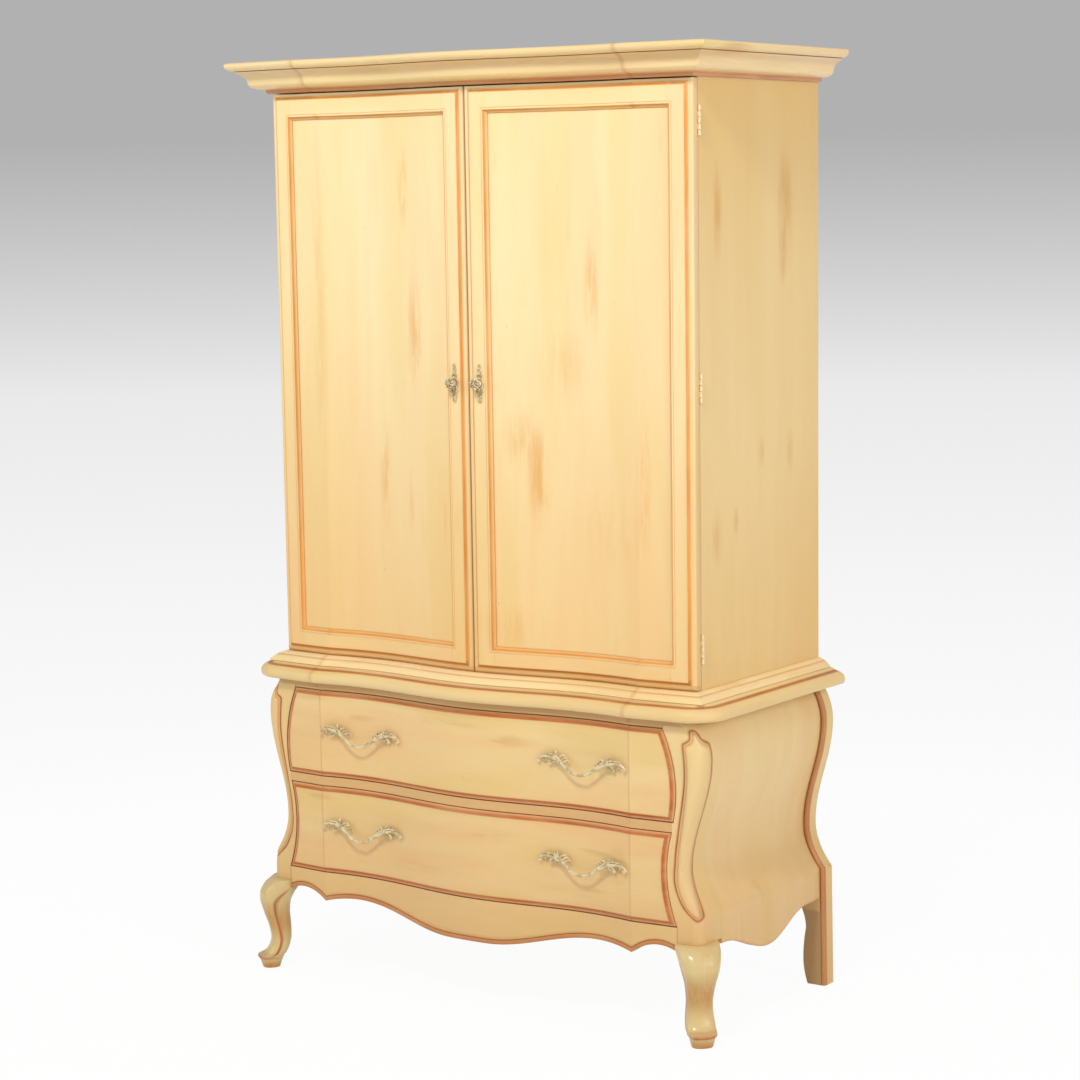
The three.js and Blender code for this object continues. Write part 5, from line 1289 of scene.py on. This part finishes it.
apron_half = post_inner(apron_top) - recess_gap
xs = stations(-apron_half, apron_half, 0.004)
points, worn = [], []
for x in xs:
    low, rise = apron_low(x), float(front_rise(x))
    ring = [(lower_depth - rail_thickness, low, 0.1, 0), (lower_depth, low + 0.0002, 0.6, 0)]
    ring += [(lower_depth + bead_rise * math.cos(a), low + bead_height * (0.5 + 0.5 * math.sin(a)), 0.7, 0)
             for a in np.radians(np.linspace(-70, 90, 9))]
    ring += [(lower_depth - 0.0006, low + bead_height + 0.0004, 1, 0.45),
             (lower_depth - 0.0001, low + bead_height + 0.0014, 0.7, 0.2)]
    start = low + bead_height + 0.003
    ring += [(lower_depth, start + (apron_top - 0.001 - start) * share, 0.25 if share == 0 else 0, 0)
             for share in (0, 0.1, 0.4, 0.7, 1)]
    ring += [(lower_depth - 0.0008, apron_top, 0.7, 0.2), (lower_depth - rail_thickness, apron_top, 0, 0)]
    points.append([(x, ahead(depth + rise), z) for depth, z, _, _ in ring])
    worn.append([row[2:] for row in ring])
glaze, crevice_and_shade = np.moveaxis(worn, -1, 0)
shaped("apron", points, ring_faces(len(xs), len(ring)), base_paint["x"], "case", ["front_apron"],
       glaze, crevice_and_shade)


def bent_rail(name, node, low, high, half, dust=None, ease=0.0008):
    """A rail that follows the front. A divider also carries a dust panel: its half width, underside and rear depth."""
    xs = stations(-half, half)
    back = lower_depth - rail_thickness
    profile = [(back, low), (lower_depth - ease, low), (lower_depth, low + ease),
               (lower_depth, high - ease), (lower_depth - ease, high), (back, high)]
    worn = [0, 0.9, 0.3, 0.3, 0.9, 0]
    points = [(x, ahead(depth + front_rise(x)), z) for x in xs for depth, z in profile]
    faces = ring_faces(len(xs), len(profile))
    glaze = worn * len(xs)
    if dust:
        panel_half, panel_low, panel_rear = dust
        start = len(points)
        across = stations(-panel_half, panel_half, 0.03)
        for x in across:
            front = ahead(back + 0.0001 + front_rise(x))
            points += [(x, front, panel_low), (x, ahead(panel_rear), panel_low), (x, ahead(panel_rear), high),
                       (x, front, high)]
        faces += [[start + k for k in face] for face in ring_faces(len(across), 4)]
        glaze = glaze + [0] * (4 * len(across))
    shaped(name, points, faces, base_paint["x"], "case", [node], glaze)


top_rail_low, top_rail_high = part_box("top_rail")
bent_rail("rail_over_drawers", "top_rail", top_rail_low.z, top_rail_high.z, top_rail_high.x)
divider_low, divider_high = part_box("drawer_divider")
bent_rail("rail_between_drawers", "drawer_divider", divider_low.z, divider_high.z, divider_high.x,
          (stop_half - recess_gap, divider_high.z - dust_thickness, half_depth - divider_high.y))
for node in ("bottom_board", "lower_back"):
    dress(node, inside_wood)


# Drawers
# Each front is a bent, lipped panel with a cove worked all round, its ends curved with the posts.
# The boxes behind are plain hardwood, with the bottom let into a groove.
drawer_cream = (236, 202, 141)
drawer_tan = (206, 152, 96)
drawer_glaze = (188, 94, 30)
# Smears of glaze left on the drawers: middle, reach and strength
drawer_spots = [
    ((0.10, 0, 0.615), (0.09, 0, 0.018), 0.3), ((-0.02, 0, 0.640), (0.13, 0, 0.014), 0.25),
    ((0.02, 0, 0.40), (0.13, 0, 0.016), 0.3), ((0.30, 0, 0.30), (0.10, 0, 0.014), 0.35),
    ((0.395, 0, 0.36), (0.03, 0, 0.06), 0.25), ((-0.15, 0, 0.30), (0.14, 0, 0.02), 0.15)]
drawer_paint = glazed_paint("drawer_paint", drawer_cream, drawer_tan, "x", 0.62, drawer_glaze, painted_shading=base_painted_shading,
                            spots=drawer_spots)
# Across the lip, the cove and the start of the flat: distance in from the edge, drop below the face, glaze
drawer_lip = np.array([
    (0, 0.0066, 0.9), (0.0005, 0.0052, 0.7), (0.0014, 0.0045, 0.45), (0.0026, 0.0043, 0.5), (0.0040, 0.0040, 0.7),
    (0.0056, 0.0033, 0.85), (0.0072, 0.0024, 1.0), (0.0086, 0.0014, 1.0), (0.0097, 0.0005, 1.0), (0.0104, 0.0001, 1.0),
    (0.0112, 0, 0.7), (0.0122, 0, 0.2), (0.0142, 0, 0.04), (0.0240, 0, 0.0)])
border = 0.030
middle_half = 0.47
offsets = np.concatenate([drawer_lip[:, 0], [border]])
middle = stations(-middle_half, middle_half)
for level, low, high, edge_at in (("upper", upper_drawer_low, upper_drawer_high, upper_edge),
                                  ("lower", lower_drawer_low, lower_drawer_high, lower_edge)):
    up = np.concatenate([low + offsets, np.linspace(low + border, high - border, 22)[1:-1], (high - offsets)[::-1]])
    edges = np.array([float(edge_at(z)) for z in up])
    columns = []
    for edge in edges:
        left_run = np.linspace(border - edge, -middle_half, 4)[1:-1]
        columns.append(np.concatenate([-edge + offsets, left_run, middle, -left_run[::-1], (edge - offsets)[::-1]]))
    xs = np.array(columns).T
    zs = np.repeat(up[None, :], len(xs), 0)
    from_edge = np.minimum(np.minimum(zs - low, high - zs), edges - np.abs(xs))
    drop, glaze = read_off(drawer_lip, from_edge)
    # A thin line at each crease, painted shade where the front turns
    crease_shade = np.exp(-((np.abs(xs) - crease_half) / 0.001) ** 2)
    face = drawer_face_depth + front_rise(xs)
    # The edges get glaze, and brown as painted shade in the gaps round the drawer
    board_of(f"{level}_front", xs, zs, face, face - drawer_thickness, drawer_paint, f"{level}_drawer",
             [f"{level}_drawer_front"], drop, np.clip(glaze + 0.3 * crease_shade, 0, 1), 0.03 * crease_shade,
             (1.0, 0.7))
    for part in ("side_left", "side_right", "back", "bottom"):
        dress(f"{level}_drawer_{part}", inside_wood)


# Drawer pulls
# Each is one casting: a bail hung between two sprays of curled leaves, standing on two posts bolted through.
# Both ends are alike. The brown left in the hollows picks out the leaves, and is deepened as painted shade.
pull_middle = 0.304
pull_heights = {"upper": 0.571, "lower": 0.350}
post_out = 64
# Strands of one end: place out from the middle, height, stand-off and radius, in millimetres
spray = [
    [(0, -11.8, 25, 3.0), (13, -10.3, 25, 3.0), (26, -5.5, 24, 3.1), (36, 0.5, 22.5, 3.2), (46, 7, 20, 3.5),
     (56, 12.5, 18, 4.2), (66, 16.5, 17, 4.6), (78, 19.5, 17, 4.2), (90, 20.8, 17, 3.4), (101, 19.5, 16.8, 2.8),
     (109, 16, 16.5, 2.4), (113, 11.5, 16.5, 2.4), (111.3, 7.8, 16.5, 2.9), (107.5, 8.4, 16.5, 2.0),
     (106.5, 11, 16.5, 1.4)],
    [(20, -5.0, 24.5, 1.2), (30, 0.4, 24.6, 1.8), (40, 6.4, 22.8, 2.1), (50, 13.4, 20.5, 2.4), (59, 19.3, 18.6, 2.5),
     (67, 23.3, 18, 2.4), (77, 25.8, 17.5, 2.0), (88, 26.2, 17, 1.7), (98, 24.6, 16.5, 1.4), (104, 22.2, 16.5, 1.2)],
    [(63, 17, 17, 2.2), (65, 23, 13, 2.4), (68, 28, 10, 2.3), (69.5, 31, 8.5, 2.5)],
    [(67, 19, 16, 2.0), (73, 25, 12, 2.0), (77, 29, 9.5, 1.6)],
    [(60, 16, 17, 2.0), (57, 20.5, 13, 2.2), (52, 24.0, 10, 2.5), (47.5, 23.6, 8.5, 2.4), (47.4, 20.2, 8, 1.6)],
    [(52, 12, 19, 1.9), (49.5, 16.5, 14, 2.1), (45, 19.2, 11, 2.4), (40.8, 18.2, 9, 2.3), (41.0, 14.8, 8.5, 1.6)],
    [(46, 8, 20, 1.7), (43, 12, 15.5, 1.9), (38.5, 14.2, 12, 2.1), (34.8, 12.8, 10.5, 2.0), (35.6, 9.8, 10, 1.4)],
    [(75, 18.5, 16, 2.5), (80, 13, 15.5, 2.6), (84, 8, 14.5, 2.7), (83, 4.2, 13.5, 2.8), (79, 4.8, 13.5, 1.9),
     (78, 7.6, 13.5, 1.4)],
    [(66, 14.5, 16.5, 2.3), (70.5, 10, 15, 2.1), (74, 7.4, 14, 1.9)],
    [(87, 23, 15.5, 2.4), (94.5, 19, 15.4, 2.2), (98, 14.8, 14.8, 1.9), (96.6, 11.6, 14.2, 1.8)]]
shells = [strand([(-u, v, w, r) for u, v, w, r in spray[0][:0:-1]] + spray[0], 14)]
for side in (-1, 1):
    shells += [placed(side, 1, rows) for rows in spray[1:]]
    shells.append(lump(side * 68, 18.5, 17, 9, 5.2, 5.2, side * 0.45))
    shells.append(lump(side * 46, 8.6, 21, 6.5, 3.4, 3.2, side * 0.6))
    foot = float(front_rise(pull_middle + side * post_out / 1000)) * 1000 + 0.4
    shells.append(turned([(6.2, foot), (6.4, foot + 0.8), (5.2, foot + 1.8), (4.4, foot + 3), (4.2, 14), (4.4, 17)], 24,
                         (side * post_out, 17)))
pull_points, pull_faces, pull_hollow = fused("bail", shells, 0.6)
# The brown in the hollows is strengthened as painted shade
pull_hollow = np.clip(pull_hollow * 1.5, 0, 1)
across, up, out = pull_points.T
for level, height in pull_heights.items():
    mirrored(f"{level}_bail_*", f"{level}_drawer_pull_*", (pull_middle + across, drawer_face_depth + out, height + up),
             pull_faces, cast_metal, f"{level}_drawer", crevice_and_shade=pull_hollow, crisp=180)
